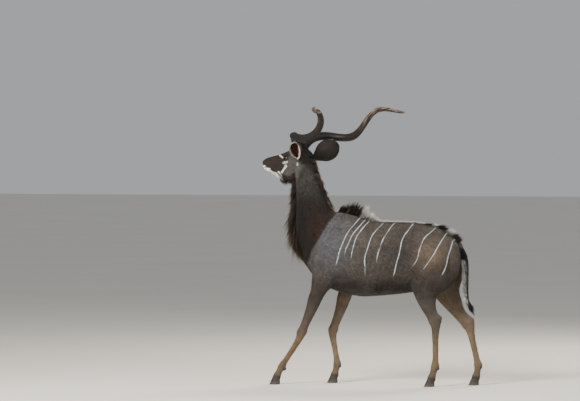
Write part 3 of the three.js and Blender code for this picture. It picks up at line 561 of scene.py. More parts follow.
# And on the head: [forward, out, up, reach forward, reach out, reach up, height].
HEAD_SWELLINGS = [
    [0.112, 0.060, -0.032, 0.026, 0.020, 0.010, 0.005],
    [0.160, 0.050, -0.074, 0.016, 0.030, 0.014, -0.006],
    [0.050, 0.066, -0.140, 0.045, 0.050, 0.045, 0.005],
    [-0.020, 0.060, -0.165, 0.016, 0.050, 0.045, -0.007],
    [0.150, 0.055, -0.110, 0.050, 0.040, 0.008, 0.003],
    [0.200, 0.045, -0.140, 0.045, 0.040, 0.022, -0.004],
    [0.205, 0.000, 0.006, 0.060, 0.030, 0.030, -0.003],
    [0.375, 0.034, -0.010, 0.018, 0.016, 0.008, 0.0045],
    [0.362, 0.000, -0.098, 0.022, 0.026, 0.016, 0.005],
    [0.404, 0.000, -0.036, 0.012, 0.003, 0.022, -0.003],
    [0.060, 0.000, 0.004, 0.040, 0.020, 0.030, 0.004],
    [0.330, 0.040, -0.048, 0.040, 0.030, 0.016, 0.004],
]
MOUTH_LINE = [[0.405, -0.057], [0.385, -0.058], [0.355, -0.066], [0.325, -0.082], [0.300, -0.095],
              [0.286, -0.099]]
MOUTH_DEPTH = 0.0045
LIP_HEIGHT = 0.0020
NOSTRIL_PLACE = np.array([0.388, 0.031, -0.026])
NOSTRIL_RISE = 0.0035
NOSTRIL_DEPTH = 0.0165
NOSTRIL_SLANT = 0.5
LID_HALF_LENGTH = 0.0200
UPPER_LID = 0.0125
LOWER_LID = 0.0100
SOCKET_DEPTH = 0.016
# Rounds of smoothing where the parts meet, under the jaw and at the graft.
JOINT_ROUNDS = 26
JAW_ROUNDS = 30
GRAFT_ROUNDS = 12


def falloff(offset, reach):
    return np.exp(-((offset / reach) ** 2).sum(-1))


def step_up(value, low, high):
    """A smooth step from 0 at low to 1 at high."""
    t = np.clip((value - low) / (high - low), 0, 1)
    return t * t * (3 - 2 * t)


def edge_array(mesh):
    edges = np.empty(len(mesh.edges) * 2, np.int64)
    mesh.edges.foreach_get("vertices", edges)
    return edges.reshape(-1, 2)


def point_array(mesh):
    points = np.empty(len(mesh.vertices) * 3)
    mesh.vertices.foreach_get("co", points)
    return points.reshape(-1, 3)


def set_points(mesh, points):
    mesh.vertices.foreach_set("co", points.ravel())
    mesh.update()


def normal_array(mesh):
    normals = np.empty(len(mesh.vertices) * 3)
    mesh.vertices.foreach_get("normal", normals)
    return normals.reshape(-1, 3)


def relaxed(points, edges, weight, rounds):
    """Each point drawn towards its neighbours by its weight, again and again."""
    count = len(points)
    ends = np.concatenate([edges[:, 0], edges[:, 1]])
    others = np.concatenate([edges[:, 1], edges[:, 0]])
    number = np.bincount(ends, minlength=count)[:, None]
    for _ in range(rounds):
        mean = np.stack([np.bincount(ends, points[others, k], count) for k in range(3)], 1) / number
        points = points + (mean - points) * weight[:, None]
    return points


def line_distance(points, line):
    """Distance of flat points from a line of flat points, and how far along it they are."""
    best = np.full(len(points), 9.0)
    share = np.zeros(len(points))
    for i in range(len(line) - 1):
        start, way = line[i], line[i + 1] - line[i]
        t = np.clip(((points - start) @ way) / (way @ way), 0, 1)
        away = np.linalg.norm(points - start - t[:, None] * way, axis=1)
        nearer = away < best
        best[nearer] = away[nearer]
        share[nearer] = (i + t[nearer]) / (len(line) - 1)
    return best, share


def unit(vector):
    return np.asarray(vector, float) / np.linalg.norm(vector, axis=-1, keepdims=True)


def mottle(points, size, seed=0):
    """A smooth unevenness of about -1 to 1, with patches about one size across."""
    draw = np.random.default_rng(seed)
    total = np.zeros(len(points))
    for _ in range(7):
        way = unit(draw.normal(size=3)) * draw.uniform(0.6, 1.5) * 2 * math.pi / (2.2 * size)
        total += np.sin(points @ way + draw.uniform(0, 2 * math.pi))
    return total / 3.2


def is_head(points):
    """How much each point belongs to the head rather than the neck."""
    head = to_head(points)
    ahead = head[:, 0] * 0.8 + (head[:, 2] + 0.06) * 0.6 + 0.08
    return step_up(ahead, -0.02, 0.03) * step_up(points[:, 2], 1.60, 1.66)


def on_left(points):
    """The right side's points moved across to the left side."""
    return points * [1, 0, 1] + np.abs(points) * [0, 1, 0]


def body_swell(points):
    mirrored = on_left(points)
    rise = np.zeros(len(points))
    for row in SWELLINGS:
        rise += MUSCLE * row[6] * falloff(mirrored - row[:3], np.array(row[3:6]))
    ribs = falloff(mirrored - RIB_CAGE, np.array(RIB_REACH))
    lean = points[:, 0] + 0.35 * (points[:, 2] - 1.0)
    rise += RIB_HEIGHT * ribs * np.cos(lean * 2 * math.pi / RIB_SPACING)
    for x, z, reach_x, reach_z, slant, spacing, height in FOLDS:
        here = falloff(points[:, [0, 2]] - [x, z], np.array([reach_x, reach_z]))
        across = (points[:, 0] - x) + slant * (points[:, 2] - z) + 0.006 * mottle(points, 0.06, 14)
        rise += height * here * np.cos(across * 2 * math.pi / spacing)
    for name, rows in LEG_ROWS.items():
        for place, angle, reach, height in FORELEG_SWELLINGS if "fore" in name else HIND_LEG_SWELLINGS:
            centre = leg_form(rows, np.array([place]), np.radians([angle]))[0, 0]
            rise += height * falloff(points - centre, reach)
    return rise


def head_swell(head):
    mirrored = on_left(head)
    rise = np.zeros(len(head))
    for row in HEAD_SWELLINGS:
        rise += row[6] * falloff(mirrored - row[:3], np.array(row[3:6]))
    away, share = line_distance(head[:, [0, 2]], np.array(MOUTH_LINE))
    fade = 1 - step_up(share, 0.85, 1.0)
    rise -= MOUTH_DEPTH * fade * np.exp(-((away / 0.0028) ** 2))
    rise += LIP_HEIGHT * fade * np.exp(-(((away - 0.0085) / 0.0045) ** 2))
    at_nostril = slanted(mirrored - NOSTRIL_PLACE)
    rise += NOSTRIL_RISE * falloff(at_nostril, np.array([0.0240, 0.03, 0.0150]))
    rise -= NOSTRIL_DEPTH * falloff(at_nostril, np.array([0.0150, 0.02, 0.0068]))
    return rise


def slanted(offset):
    """Turned so that the first direction runs along a nostril, up and back from the lip."""
    cosine, sine = math.cos(NOSTRIL_SLANT), math.sin(NOSTRIL_SLANT)
    forward = offset[:, 0] * cosine - offset[:, 2] * sine
    up = offset[:, 0] * sine + offset[:, 2] * cosine
    return np.stack([forward, offset[:, 1], up], -1)


def eye_inside(head):
    """How far inside the almond between the lids a point of the head lies, seen from the side."""
    forward = head[:, 0] - EYE_PLACE[0]
    up = head[:, 2] - EYE_PLACE[2] + 0.15 * forward + 0.0005
    arch = 1 - (forward / LID_HALF_LENGTH) ** 2
    return np.minimum(UPPER_LID * arch - up, up + LOWER_LID * arch)


def open_eyes(head):
    """The skin between the lids drawn in behind the eyeball."""
    out = np.abs(head[:, 1])
    inside = step_up(eye_inside(head), -0.0005, 0.0025) * (out > 0.035)
    moved = head.copy()
    moved[:, 1] -= np.sign(head[:, 1]) * inside * SOCKET_DEPTH
    return moved


def shaped(mesh):
    """The joined skin smoothed where its parts meet, and raised and sunk over bone and muscle."""
    points, edges = point_array(mesh), edge_array(mesh)
    head_share = is_head(points)
    upper = step_up(points[:, 2], 0.60, 0.72) * (1 - step_up(-points[:, 0], 0.69, 0.72))
    everywhere = np.ones(len(points))
    points = relaxed(points, edges, 0.5 * everywhere, 2)
    points = relaxed(points, edges, 0.6 * upper * (1 - head_share), JOINT_ROUNDS)
    jaw = np.exp(-(((to_head(points) - [-0.03, 0, -0.20]) / [0.07, 0.2, 0.06]) ** 2).sum(1))
    points = relaxed(points, edges, 0.6 * jaw, JAW_ROUNDS)
    graft = np.abs((points - np.array(GRAFT_PLACE)) @ np.array(GRAFT_WAY))
    points = relaxed(points, edges, 0.6 * (graft < 0.03), GRAFT_ROUNDS)
    set_points(mesh, points)
    normals = normal_array(mesh)
    head = to_head(points)
    head_share = is_head(points)
    rise = body_swell(points) * (1 - head_share) + head_swell(head) * head_share
    points = points + normals * rise[:, None]
    points = relaxed(points, edges, 0.25 * (1 - head_share), 2)
    near_head = head_share > 0.5
    points[near_head] = from_head(open_eyes(to_head(points[near_head])))
    set_points(mesh, points)


# Ears
# Leaf-shaped shells of gristle and skin, rolled at the root and open like a cup above, in one skin with
# the head. The left one is turned out, and the right one lies back. Ways are in the head's directions.
EAR_LENGTH = 0.255
EAR_WIDTH = 0.205
EAR_THICKNESS = 0.005
EAR_FACING = {1: (0.2, 0.72, -0.66), -1: (0.615, -0.766, 0.186)}
EAR_ROLL = {1: 1.9, -1: 1.0}
EAR_SHARE = {1: 0.82, -1: 1.0}
# Each row is [place along the ear, share of the full width, half angle of the roll in degrees].
EAR_ROWS = [[-0.12, 0.42, 152], [0.05, 0.44, 146], [0.2, 0.66, 100], [0.4, 0.93, 68],
            [0.6, 1, 58], [0.78, 0.86, 50], [0.92, 0.52, 42], [0.98, 0.25, 36], [1.0, 0.08, 32]]
EAR_STEPS = 44
EAR_COLUMNS = 26
EAR_ALONG = 1 - 1.12 * steps(1, 0, EAR_STEPS) ** 1.25
EAR_ACROSS = np.sin(steps(-math.pi / 2, math.pi / 2, EAR_COLUMNS))
FOLD_HEIGHT = 0.0012


def ear_frame(side):
    lie = unit(np.array(EAR_WAYS[side]))
    facing = np.array(EAR_FACING[side])
    facing = unit(facing - facing @ lie * lie)
    return EAR_PLACE * [1, side, 1], lie, facing, np.cross(facing, lie)


def ear_form(side, places, columns, depth):
    """Points of an ear in the head's frame, a depth in from its outer skin."""
    base, lie, facing, across = ear_frame(side)
    _, share, half = between(EAR_ROWS, places).T[..., None]
    roll = np.radians(np.minimum(half * EAR_ROLL[side], 155))
    radius = EAR_WIDTH * share / (2 * roll)
    wall = radius - depth[:, None]
    out = (radius * 0.55 - wall * np.cos(columns * roll))[..., None]
    aside = (wall * np.sin(columns * roll))[..., None]
    along = (EAR_LENGTH * EAR_SHARE[side] * places)[:, None, None]
    return base + lie * along + facing * out + across * aside


def ear_shell(side):
    """One ear as rings that run over its outer and back along its inner skin."""
    depth = EAR_THICKNESS * (1 - 0.55 * np.maximum(EAR_ALONG, 0))
    outer = ear_form(side, EAR_ALONG, EAR_ACROSS, depth * 0.1)
    inner = ear_form(side, EAR_ALONG, EAR_ACROSS[::-1], depth)
    folds = FOLD_HEIGHT * np.cos(EAR_ACROSS[::-1] * 4.2 * math.pi) * (1 - EAR_ACROSS**2)
    inward = unit(inner - outer[:, ::-1])
    inner = inner + inward * folds[None, :, None] * step_up(EAR_ALONG, 0.05, 0.3)[:, None, None]
    return from_head(np.concatenate([outer, inner], 1))


def with_ears(skin):
    """The skin with both ears set in their fleshy roots, their points after its own."""
    shells = joined_mesh("ears", [ear_shell(side) for side in (1, -1)])
    whole = bmesh.new()
    whole.from_mesh(skin)
    whole.from_mesh(shells)
    bmesh.ops.triangulate(whole, faces=[face for face in whole.faces if len(face.verts) > 4])
    mesh = bpy.data.meshes.new("kudu_hide")
    whole.to_mesh(mesh)
    whole.free()
    return mesh


def shell_places(skin_count, count):
    """For each point: its ear (0 for none), its place along and across it, and 1 if it is inside."""
    ear, along, across, inner = (np.zeros(count) for _ in range(4))
    number = EAR_STEPS * EAR_COLUMNS * 2
    for start, side in ((skin_count, 1), (skin_count + number, -1)):
        own = slice(start, start + number)
        ear[own] = side
        along[own] = np.repeat(EAR_ALONG, EAR_COLUMNS * 2)
        across[own] = np.tile(np.concatenate([EAR_ACROSS, EAR_ACROSS[::-1]]), EAR_STEPS)
        inner[own] = np.tile(np.repeat([0.0, 1.0], EAR_COLUMNS), EAR_STEPS)
    return ear, along, across, inner


skin_mesh = grafted()
shaped(skin_mesh)
hide_mesh = with_ears(skin_mesh)


# Markings
# A bull's winter coat: blue-grey shoulders, brown-grey flanks, a near black neck, belly and brisket, legs
# tawny low down, nine thin white lines down each side, one along the back, and a dark face marked white.
# Painted light and shade are mixed in too: a lighter upper back, painted highlights on the shoulder and
# the haunch, and painted shade on the rear flank, the thigh, the elbow, the lower body and the underside,
# in the nostrils and deep in the ears.
# Every colour is mixed by place on the hide, and the coat that grows there carries the same one.
STRIPE_HEIGHTS = [1.42, 1.34, 1.26, 1.18, 1.10, 1.02, 0.94, 0.86, 0.78]
# Each line's place along the body at these heights, then its lowest and highest point.
STRIPES = [
    ([0.060, 0.119, 0.169, 0.218, 0.244, 0.269, 0.293, 0.318, 0.340], 0.96, 1.39),
    ([-0.010, 0.061, 0.118, 0.169, 0.201, 0.216, 0.231, 0.246, 0.262], 1.04, 1.39),
    ([-0.050, 0.019, 0.080, 0.125, 0.151, 0.158, 0.164, 0.170, 0.176], 1.01, 1.39),
    ([-0.180, -0.113, -0.042, 0.003, 0.025, 0.041, 0.041, 0.038, 0.034], 0.89, 1.39),
    ([-0.245, -0.192, -0.142, -0.101, -0.072, -0.059, -0.046, -0.034, -0.022], 0.98, 1.39),
    ([-0.425, -0.360, -0.297, -0.255, -0.236, -0.223, -0.203, -0.176, -0.150], 0.87, 1.39),
    ([-0.660, -0.590, -0.502, -0.424, -0.397, -0.373, -0.326, -0.280, -0.240], 0.95, 1.39),
    ([-0.705, -0.665, -0.615, -0.566, -0.530, -0.481, -0.427, -0.372, -0.330], 0.93, 1.25),
    ([-0.760, -0.730, -0.690, -0.655, -0.636, -0.616, -0.590, -0.558, -0.530], 0.87, 1.18),
]
# A line's shift on the right side, where it differs a little from the left side's.
RIGHT_SHIFT = 0.013
RIGHT_WAVE = 0.010
LINE_WOBBLE = 0.0035
STRIPE_HALF = 0.0038
STRIPE_SOFT = 0.0016
DORSAL_HALF = 0.010
DORSAL_SOFT = 0.004
BACK_LINE_FRONT = 0.13
BACK_LINE_REAR = -0.44
# The edge between the dark neck and the shoulder: a place on it, [along, up], and the way across it.
NECK_EDGE = (0.30, 1.408)
NECK_EDGE_WAY = (0.865, 0.503)
RAGGED_EDGE = 0.006
# How much of a tuft's reach past its root moves it across the lines.
LINE_DRIFT = 0.85
# Noise scales per metre: fine unevenness 4 mm across, and soft clouds 45 mm across.
RAGGED_SCALE = 240.0
CLOUD_SCALE = 22.0
# How steeply the hair lifts from the skin, and how much less it does on the head and the legs.
COAT_LIFT = 0.20
SLEEKER = 0.06
# Hairs 2.4 mm and clumps 11 mm apart, coarser than in life so that they show.
HAIR_SCALE = 420.0
CLUMP_SCALE = 90.0


def blended(base, layers):
    for colour, share in layers:
        base = base + (np.array(linear(colour)) - base) * np.clip(share, 0, 1)[:, None]
    return base


def near(points, centre, reach):
    return falloff(points - np.array(centre), np.array(reach))


def neck_share(points):
    """How far a point is on the dark side of the line where the neck meets the shoulder."""
    past = (points[:, 0] - NECK_EDGE[0]) * NECK_EDGE_WAY[0]
    past += (points[:, 2] - NECK_EDGE[1]) * NECK_EDGE_WAY[1]
    past += 0.006 * mottle(points, 0.05, 4)
    return step_up(past, -0.010, 0.014) * step_up(points[:, 2], 0.88, 0.98)


def stripe_values(points, normals):
    """Which line a point is nearest, as a number that passes through 1, 2 ... 9 on the lines, with the
    gap between lines there and how much of the line's width is left."""
    x = points[:, 0] + LINE_WOBBLE * mottle(points, 0.07, 8)
    z = points[:, 2]
    right = points[:, 1] < 0
    heights = STRIPE_HEIGHTS[::-1]
    lines = []
    for number, (places, low, high) in enumerate(STRIPES):
        place = between(list(zip(heights, places[::-1])), np.clip(z, heights[0], heights[-1]))[:, 1]
        shift = RIGHT_SHIFT * math.sin(2.3 * number + 1) + RIGHT_WAVE * np.sin(z * 9 + number)
        lines.append(place + np.where(right, shift, 0))
    lines = np.array(lines)
    index = 1 - (x - lines[0]) / 0.1
    gap = np.full(len(x), 0.1)
    for number in range(len(STRIPES) - 1):
        within = (x <= lines[number]) & (x > lines[number + 1])
        between_lines = np.maximum(lines[number] - lines[number + 1], 0.02)
        index[within] = (number + 1 + (lines[number] - x) / between_lines)[within]
        gap[within] = between_lines[within]
    behind = x <= lines[-1]
    index[behind] = (len(STRIPES) + (lines[-1] - x) / 0.1)[behind]
    index = np.clip(index, 0.5, len(STRIPES) + 0.5)
    nearest = np.clip(np.round(index), 1, len(STRIPES)).astype(int) - 1
    slopes = np.array([np.gradient(places[::-1], heights) for places, _, _ in STRIPES])
    slope = np.array([np.interp(z, heights, row) for row in slopes])[nearest, np.arange(len(x))]
    low = np.array([row[1] for row in STRIPES])[nearest]
    high = np.array([row[2] for row in STRIPES])[nearest]
    left = step_up(z, low - 0.03, low + 0.07) * (1 - step_up(z, high - 0.005, high + 0.015))
    left *= (normals[:, 1] * np.sign(points[:, 1]) > -0.15) * (1 - neck_share(points))
    left *= 0.78 + 0.22 * mottle(points, 0.05, 9)
    rate = np.stack([-1 / gap, 0 * gap, slope / gap], 1)
    return index, gap / np.sqrt(1 + slope**2), np.clip(left, 0, 1), rate


def body_colour(points, normals):
    z = points[:, 2]
    inside = step_up(-normals[:, 1] * np.sign(points[:, 1]), 0.1, 0.6)
    neck = neck_share(points)
    leg = 1 - step_up(z + 0.03 * mottle(points, 0.08, 2), 0.62, 0.82)
    tawny = 1 - step_up(z + 0.03 * mottle(points, 0.08, 2), 0.36, 0.66)
    # Where the trunk faces down, for the painted shade under the belly.
    under = step_up(-normals[:, 2], 0.25, 0.85) * step_up(z, 0.62, 0.70)
    patchy = mottle(points, 0.10, 1)
    rear_neck = near(points, [0.43, 0, 1.26], [0.09, 1, 0.16])
    tail_upper = step_up(z, 0.68, 0.74)
    colour = np.tile(np.array(linear(0x433E39)), (len(points), 1))
    return blended(colour, [
        # Painted light from above: the upper back is drawn lighter than the flank.
        (0x524A43, 0.7 * step_up(z + 0.02 * patchy, 1.06, 1.26)),
        # Blue-grey over the shoulder: partly the coat's own colour, partly a painted highlight.
        (0x4E5055, 0.9 * near(points, [0.34, 0, 1.16], [0.17, 1, 0.26])),
        # Painted shade on the rear flank.
        (0x2F2B29, 0.6 * near(points, [-0.26, 0, 1.08], [0.12, 1, 0.20])),
        # Painted highlight on the haunch, in a warm brown.
        (0x6E5D4E, 0.8 * near(points, [-0.50, 0, 1.04], [0.12, 1, 0.12])),
        # Painted shade on the lower haunch and the back of the thigh.
        (0x342C27, 0.7 * near(points, [-0.50, 0, 0.86], [0.18, 1, 0.13])),
        (0x2E2622, 0.7 * near(points, [-0.62, 0, 0.90], [0.06, 1, 0.14])),
        # Darker towards the bottom of the trunk: partly the dark belly, partly painted shade.
        (0x26211F, 0.85 * (1 - step_up(z + 0.02 * patchy, 0.75, 0.92)) * (1 - leg)),
        # Painted shade on the underside, where it faces down.
        (0x181413, 0.95 * under * (1 - leg)),
        (0x49433E, 0.9 * leg),
        (0x5E5245, 0.9 * tawny),
        (0x78644A, 0.75 * (1 - step_up(z, 0.26, 0.50))),
        # Dark at the elbow: partly the dark garter, partly painted shade where the leg meets the chest.
        (0x3A302A, 0.7 * near(points, [0.45, 0, 0.72], [0.09, 1, 0.13]) * (1 - 0.6 * inside)),
        (0x7C6A54, 0.5 * inside * (1 - step_up(z, 0.66, 0.94))),
        (0x4A3F36, 0.55 * (1 - step_up(z, 0.13, 0.20))),
        (0x2B2422, 0.8 * (1 - step_up(z, 0.060, 0.085))),
        (0x211F1D, neck),
        (0x3B2720, 0.75 * neck * rear_neck),
        (0x44423F, 0.7 * neck * step_up(z, 1.42, 1.62)),
        (0x221D1B, 0.8 * step_up(-normals[:, 0], 0.5, 0.9)
         * near(points, [0.47, 0, 1.60], [0.2, 0.05, 0.3])),
        (0x272120, 0.85 * near(points, [0.60, 0, 1.02], [0.10, 0.12, 0.13])),
        (0x55534F, 0.5 * near(points, [0.66, 0, 1.35], [0.05, 0.06, 0.30]) * neck),
        (0xC9CBCC, tail_share(points) * step_up(normals[:, 0], -0.15, 0.30) * tail_upper),
        (0x1C1715, tail_share(points) * np.maximum(step_up(-normals[:, 0], -0.30, 0.10), 1 - tail_upper)),
    ])


def tail_share(points):
    """How far a point is on the tail rather than the rump."""
    sides = leg_form(TAIL_ROWS, steps(0.6, 7, 30), np.array([0.0, math.pi]))
    away, _ = line_distance(points, sides.mean(1))
    return 1 - step_up(away, 0.030, 0.042)


def head_colour(head):
    mirrored = on_left(head)
    forward, out, up = mirrored.T
    wavy = 0.004 * mottle(head, 0.025, 5)
    _, top, bottom, *_ = between(HEAD_ROWS, np.clip(forward, HEAD_ROWS[0][0], HEAD_ROWS[-1][0])).T
    depth = np.clip((top - up) / (top - bottom), 0, 1)
    muzzle = step_up(forward + 0.35 * (up + 0.10) + wavy, 0.150, 0.185)
    above = up - np.interp(forward, *np.array(MOUTH_LINE)[::-1].T)

    def streak(seen, start, end, half):
        away, _ = line_distance(seen, np.array([start, end]))
        return 1 - step_up(away + 0.5 * wavy, half * 0.7, half * 1.3)

    def cheek_mark(start, end, half):
        return streak(mirrored[:, [0, 2]], start, end, half) * (out > 0.015)

    nose = step_up(forward + 0.55 * up + 0.35 * (0.020 - out), 0.360, 0.372)
    colour = np.tile(np.array(linear(0x514F4D)), (len(head), 1))
    return blended(colour, [
        (0x332823, 0.9 * (1 - step_up(depth + 4 * wavy, 0.16, 0.34))),
        (0x241B18, muzzle * (1 - 0.12 * depth)),
        (0x3A2D28, 0.5 * muzzle * near(mirrored, [0.30, 0.0, -0.03], [0.09, 0.06, 0.04])),
        (0x191413, 0.95 * near(mirrored, [0.122, 0.06, -0.054], [0.036, 0.05, 0.024])),
        (0x3A3634, 0.7 * near(mirrored, [0.02, 0.06, -0.04], [0.05, 0.06, 0.05])),
        (0x5B5855, 0.6 * step_up(depth, 0.70, 0.95) * (1 - step_up(forward, 0.24, 0.30))),
        (0xEDEBE6, streak(mirrored, [0.160, 0.054, -0.040], [0.217, 0.022, 0.0065], 0.0072)),
        (0xC6C3BC, cheek_mark([0.168, -0.084], [0.112, -0.089], 0.0078)),
        (0xE8E5DF, cheek_mark([0.140, -0.116], [0.222, -0.146], 0.0080)),
        (0xEFEDE8, cheek_mark([0.256, -0.142], [0.262, -0.150], 0.0112)),
        (0xF1EFEA, step_up(forward, 0.318, 0.334) * step_up(-above + wavy, 0.001, 0.005)),
        (0x241B18, near(mirrored, [0.318, 0.040, -0.098], [0.020, 0.03, 0.012])),
        (0xF1EFEA, step_up(forward, 0.352, 0.376) * (1 - step_up(above + wavy, 0.010, 0.016))),
        (0xE6E2DB, step_up(depth, 0.925, 0.965) * step_up(forward, 0.27, 0.29)),
        (0xE4E0D9, cheek_mark([0.002, -0.130], [0.012, -0.144], 0.0075) * (out > 0.045)),
        (0x151211, 0.9 * (1 - step_up(np.abs(above), 0.0014, 0.0032)) * step_up(forward, 0.284, 0.292)),
        (0x211C1A, nose * step_up(above, 0.012, 0.018)),
        # Painted shade in the nostril hollows, over their dark skin.
        (0x050404, near(slanted(mirrored - NOSTRIL_PLACE), [0, 0, 0], [0.0150, 0.03, 0.0066])),
        (0x171210, 0.9 * step_up(eye_inside(mirrored), -0.0200, -0.0080) * (out > 0.03)),
        (0x0E0B0A, step_up(eye_inside(mirrored), -0.0042, -0.0016) * (out > 0.03)),
    ])


def ear_colour(along, across, inner):
    rim = step_up(np.abs(across), 0.90, 0.97) + step_up(along, 0.955, 0.985)
    white = step_up(np.abs(across), 0.82, 0.88) * np.where(across > 0, 0.65, 1.0)
    colour = np.tile(np.array(linear(0x25211D)), (len(along), 1))
    return blended(colour, [
        (0x3F3831, (1 - inner) * (1 - step_up(along, 0.0, 0.35))),
        (0x14110F, (1 - inner) * np.clip(rim, 0, 1)),
        (0x3F1A14, inner),
        # Painted shade deep in the cup of the ear, darker towards its root.
        (0x2E120E, 0.7 * inner * (1 - step_up(along, 0.1, 0.5))),
        (0xE2DAD0, inner * np.clip(white + step_up(along, 0.86, 0.94), 0, 1)),
    ])


def coat_ways(points, head_part):
    """The way the hair lies at each point: back and down the body, down the legs, back over the face."""
    z = points[:, 2]
    way = np.tile(np.array([-1.0, 0.0, -0.42]), (len(points), 1))

    def turned(share, target):
        return way + (np.array(target) - way) * share[:, None]

    way = turned(near(points, [0.36, 0, 1.10], [0.16, 1, 0.22]), [-0.75, 0.0, -0.75])
    way = turned(near(points, [-0.54, 0, 1.0], [0.14, 1, 0.2]), [-0.55, 0.0, -0.9])
    way = turned(neck_share(points), [-0.30, 0.0, -1.0])
    way = turned(1 - step_up(z, 0.66, 0.86), [0.0, 0.0, -1.0])
    way = turned(tail_share(points), [0.0, 0.0, -1.0])
    on_head = np.array([-1.0, 0.0, -0.35]) @ HEAD_WAYS
    return turned(head_part, on_head)


def laid(way, normals, lift):
    """A way pressed along the skin, then lifted from it a little."""
    flat = unit(way - (way * normals).sum(1, keepdims=True) * normals + 1e-9)
    return unit(flat + normals * lift[:, None])


def finished(name, mesh, material, slot, *nodes):
    """A finished piece: set into the frame, smooth, with its material, in the place of its solids."""
    mesh.transform(Matrix.Translation(-Vector(FLOOR_CENTRE)))
    mesh.polygons.foreach_set("use_smooth", [True] * len(mesh.polygons))
    mesh.materials.append(material)
    piece = add_object(name, mesh)
    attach(piece, "root")
    if nodes:
        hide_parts(*nodes)
    return piece


def point_values(mesh, name, values):
    """Keeps a number, vector or colour for each point of a mesh."""
    values = np.ascontiguousarray(values, dtype=np.float32)
    parts = 1 if values.ndim == 1 else values.shape[1]
    kind, key = {1: ("FLOAT", "value"), 3: ("FLOAT_VECTOR", "vector"), 4: ("FLOAT_COLOR", "color")}[parts]
    mesh.attributes.new(name, kind, "POINT").data.foreach_set(key, values.ravel())


points, normals = point_array(hide_mesh), normal_array(hide_mesh)
count = len(points)
ear, ear_along, ear_across, ear_inner = shell_places(len(skin_mesh.vertices), count)
head = to_head(points)
head_part = is_head(points) * (ear == 0)
coat_colour = body_colour(points, normals)
coat_colour += (head_colour(head) - coat_colour) * head_part[:, None]
coat_colour[ear != 0] = ear_colour(ear_along, ear_across, ear_inner)[ear != 0]
coat_colour[:, :3] *= 1 + 0.07 * mottle(points, 0.055, 21)[:, None]
stripe_index, stripe_gap, stripe_left, stripe_slope = stripe_values(points, normals)
stripe_left *= (ear == 0) * (1 - head_part)
back_line = step_up(points[:, 0], BACK_LINE_REAR - 0.04, BACK_LINE_REAR + 0.03)
back_line *= 1 - step_up(points[:, 0], BACK_LINE_FRONT - 0.06, BACK_LINE_FRONT)
back_line *= step_up(normals[:, 2], 0.5, 0.8) * step_up(points[:, 2], 1.0, 1.1)

lie = coat_ways(points, head_part)
for side in (1, -1):
    _, ear_lie, _, across_way = ear_frame(side)
    mine = ear == side
    inward = np.where(ear_inner[mine] > 0, -0.4, -0.1)[:, None] * ear_across[mine, None]
    lie[mine] = (ear_lie @ HEAD_WAYS) + inward * (across_way @ HEAD_WAYS)
lie = laid(lie, normals, COAT_LIFT - SLEEKER * head_part - SLEEKER * (points[:, 2] < 0.7))

HIDE_VALUES = {
    "coat_colour": coat_colour, "stripe_index": stripe_index, "stripe_gap": stripe_gap,
    "stripe_left": stripe_left, "stripe_slope": stripe_slope, "back_line": back_line,
    "lie": lie, "root": points - FLOOR_CENTRE,
}
for name, values in HIDE_VALUES.items():
    point_values(hide_mesh, name, values)


def marked_colour(tree, colour):
    """The coat's colour, finely uneven, with the white lines on the sides and the one on the back."""
    def value(name):
        return add(tree, "ShaderNodeAttribute", attribute_name=name).outputs["Fac"]

    def maths(operation, first, second=0.0):
        return add(tree, "ShaderNodeMath", {0: first, 1: second}, operation=operation).outputs[0]

    def faded(distance, half, soft):
        low, high = maths("SUBTRACT", half, soft), maths("ADD", half, soft)
        inputs = {"Value": distance, "From Min": low, "From Max": high, "To Min": 1.0, "To Max": 0.0}
        return add(tree, "ShaderNodeMapRange", inputs, interpolation_type="SMOOTHSTEP").outputs[0]

    root = add(tree, "ShaderNodeAttribute", attribute_name="root").outputs["Vector"]
    ragged = add(tree, "ShaderNodeTexNoise", {"Vector": root, "Scale": RAGGED_SCALE, "Detail": 2.0})
    uneven = maths("MULTIPLY", maths("SUBTRACT", ragged.outputs["Fac"], 0.5), RAGGED_EDGE)
    place = add(tree, "ShaderNodeTexCoord").outputs["Object"]
    moved = add(tree, "ShaderNodeVectorMath", {0: place, 1: root}, operation="SUBTRACT").outputs[0]
    slope = add(tree, "ShaderNodeAttribute", attribute_name="stripe_slope").outputs["Vector"]
    drift = add(tree, "ShaderNodeVectorMath", {0: moved, 1: slope}, operation="DOT_PRODUCT")
    index = maths("ADD", value("stripe_index"), maths("MULTIPLY", drift.outputs["Value"], LINE_DRIFT))
    off_line = maths("ABSOLUTE", maths("SUBTRACT", index, maths("ROUND", index)))
    away = maths("ADD", maths("MULTIPLY", off_line, value("stripe_gap")), uneven)
    left = value("stripe_left")
    line = maths("MULTIPLY", faded(away, maths("MULTIPLY", left, STRIPE_HALF), STRIPE_SOFT),
                 maths("MINIMUM", maths("MULTIPLY", left, 1.5), 1.0))
    across = add(tree, "ShaderNodeSeparateXYZ", {"Vector": place}).outputs["Y"]
    from_middle = maths("ABSOLUTE", maths("ADD", across, float(FLOOR_CENTRE[1])))
    back = maths("MULTIPLY", faded(maths("ADD", from_middle, uneven), DORSAL_HALF, DORSAL_SOFT),
                 value("back_line"))
    white = maths("MAXIMUM", line, back)
    cloud = add(tree, "ShaderNodeTexNoise", {"Vector": root, "Scale": CLOUD_SCALE, "Detail": 6.0})
    spread = {"From Min": 0.3, "From Max": 0.7}
    tone = add(tree, "ShaderNodeMapRange",
               {"Value": cloud.outputs["Fac"], **spread, "To Min": 0.82, "To Max": 1.18})
    grain = add(tree, "ShaderNodeMapRange",
                {"Value": ragged.outputs["Fac"], **spread, "To Min": 0.84, "To Max": 1.16})
    shade = maths("MULTIPLY", tone.outputs[0], grain.outputs[0])
    toned = add(tree, "ShaderNodeVectorMath", {0: colour, "Scale": shade}, operation="SCALE")
    marked = add(tree, "ShaderNodeMix", {"Factor": white, 6: toned.outputs[0]}, data_type="RGBA")
    marked.inputs[7].default_value = linear(0xBEC5CE)
    return marked.outputs[2]


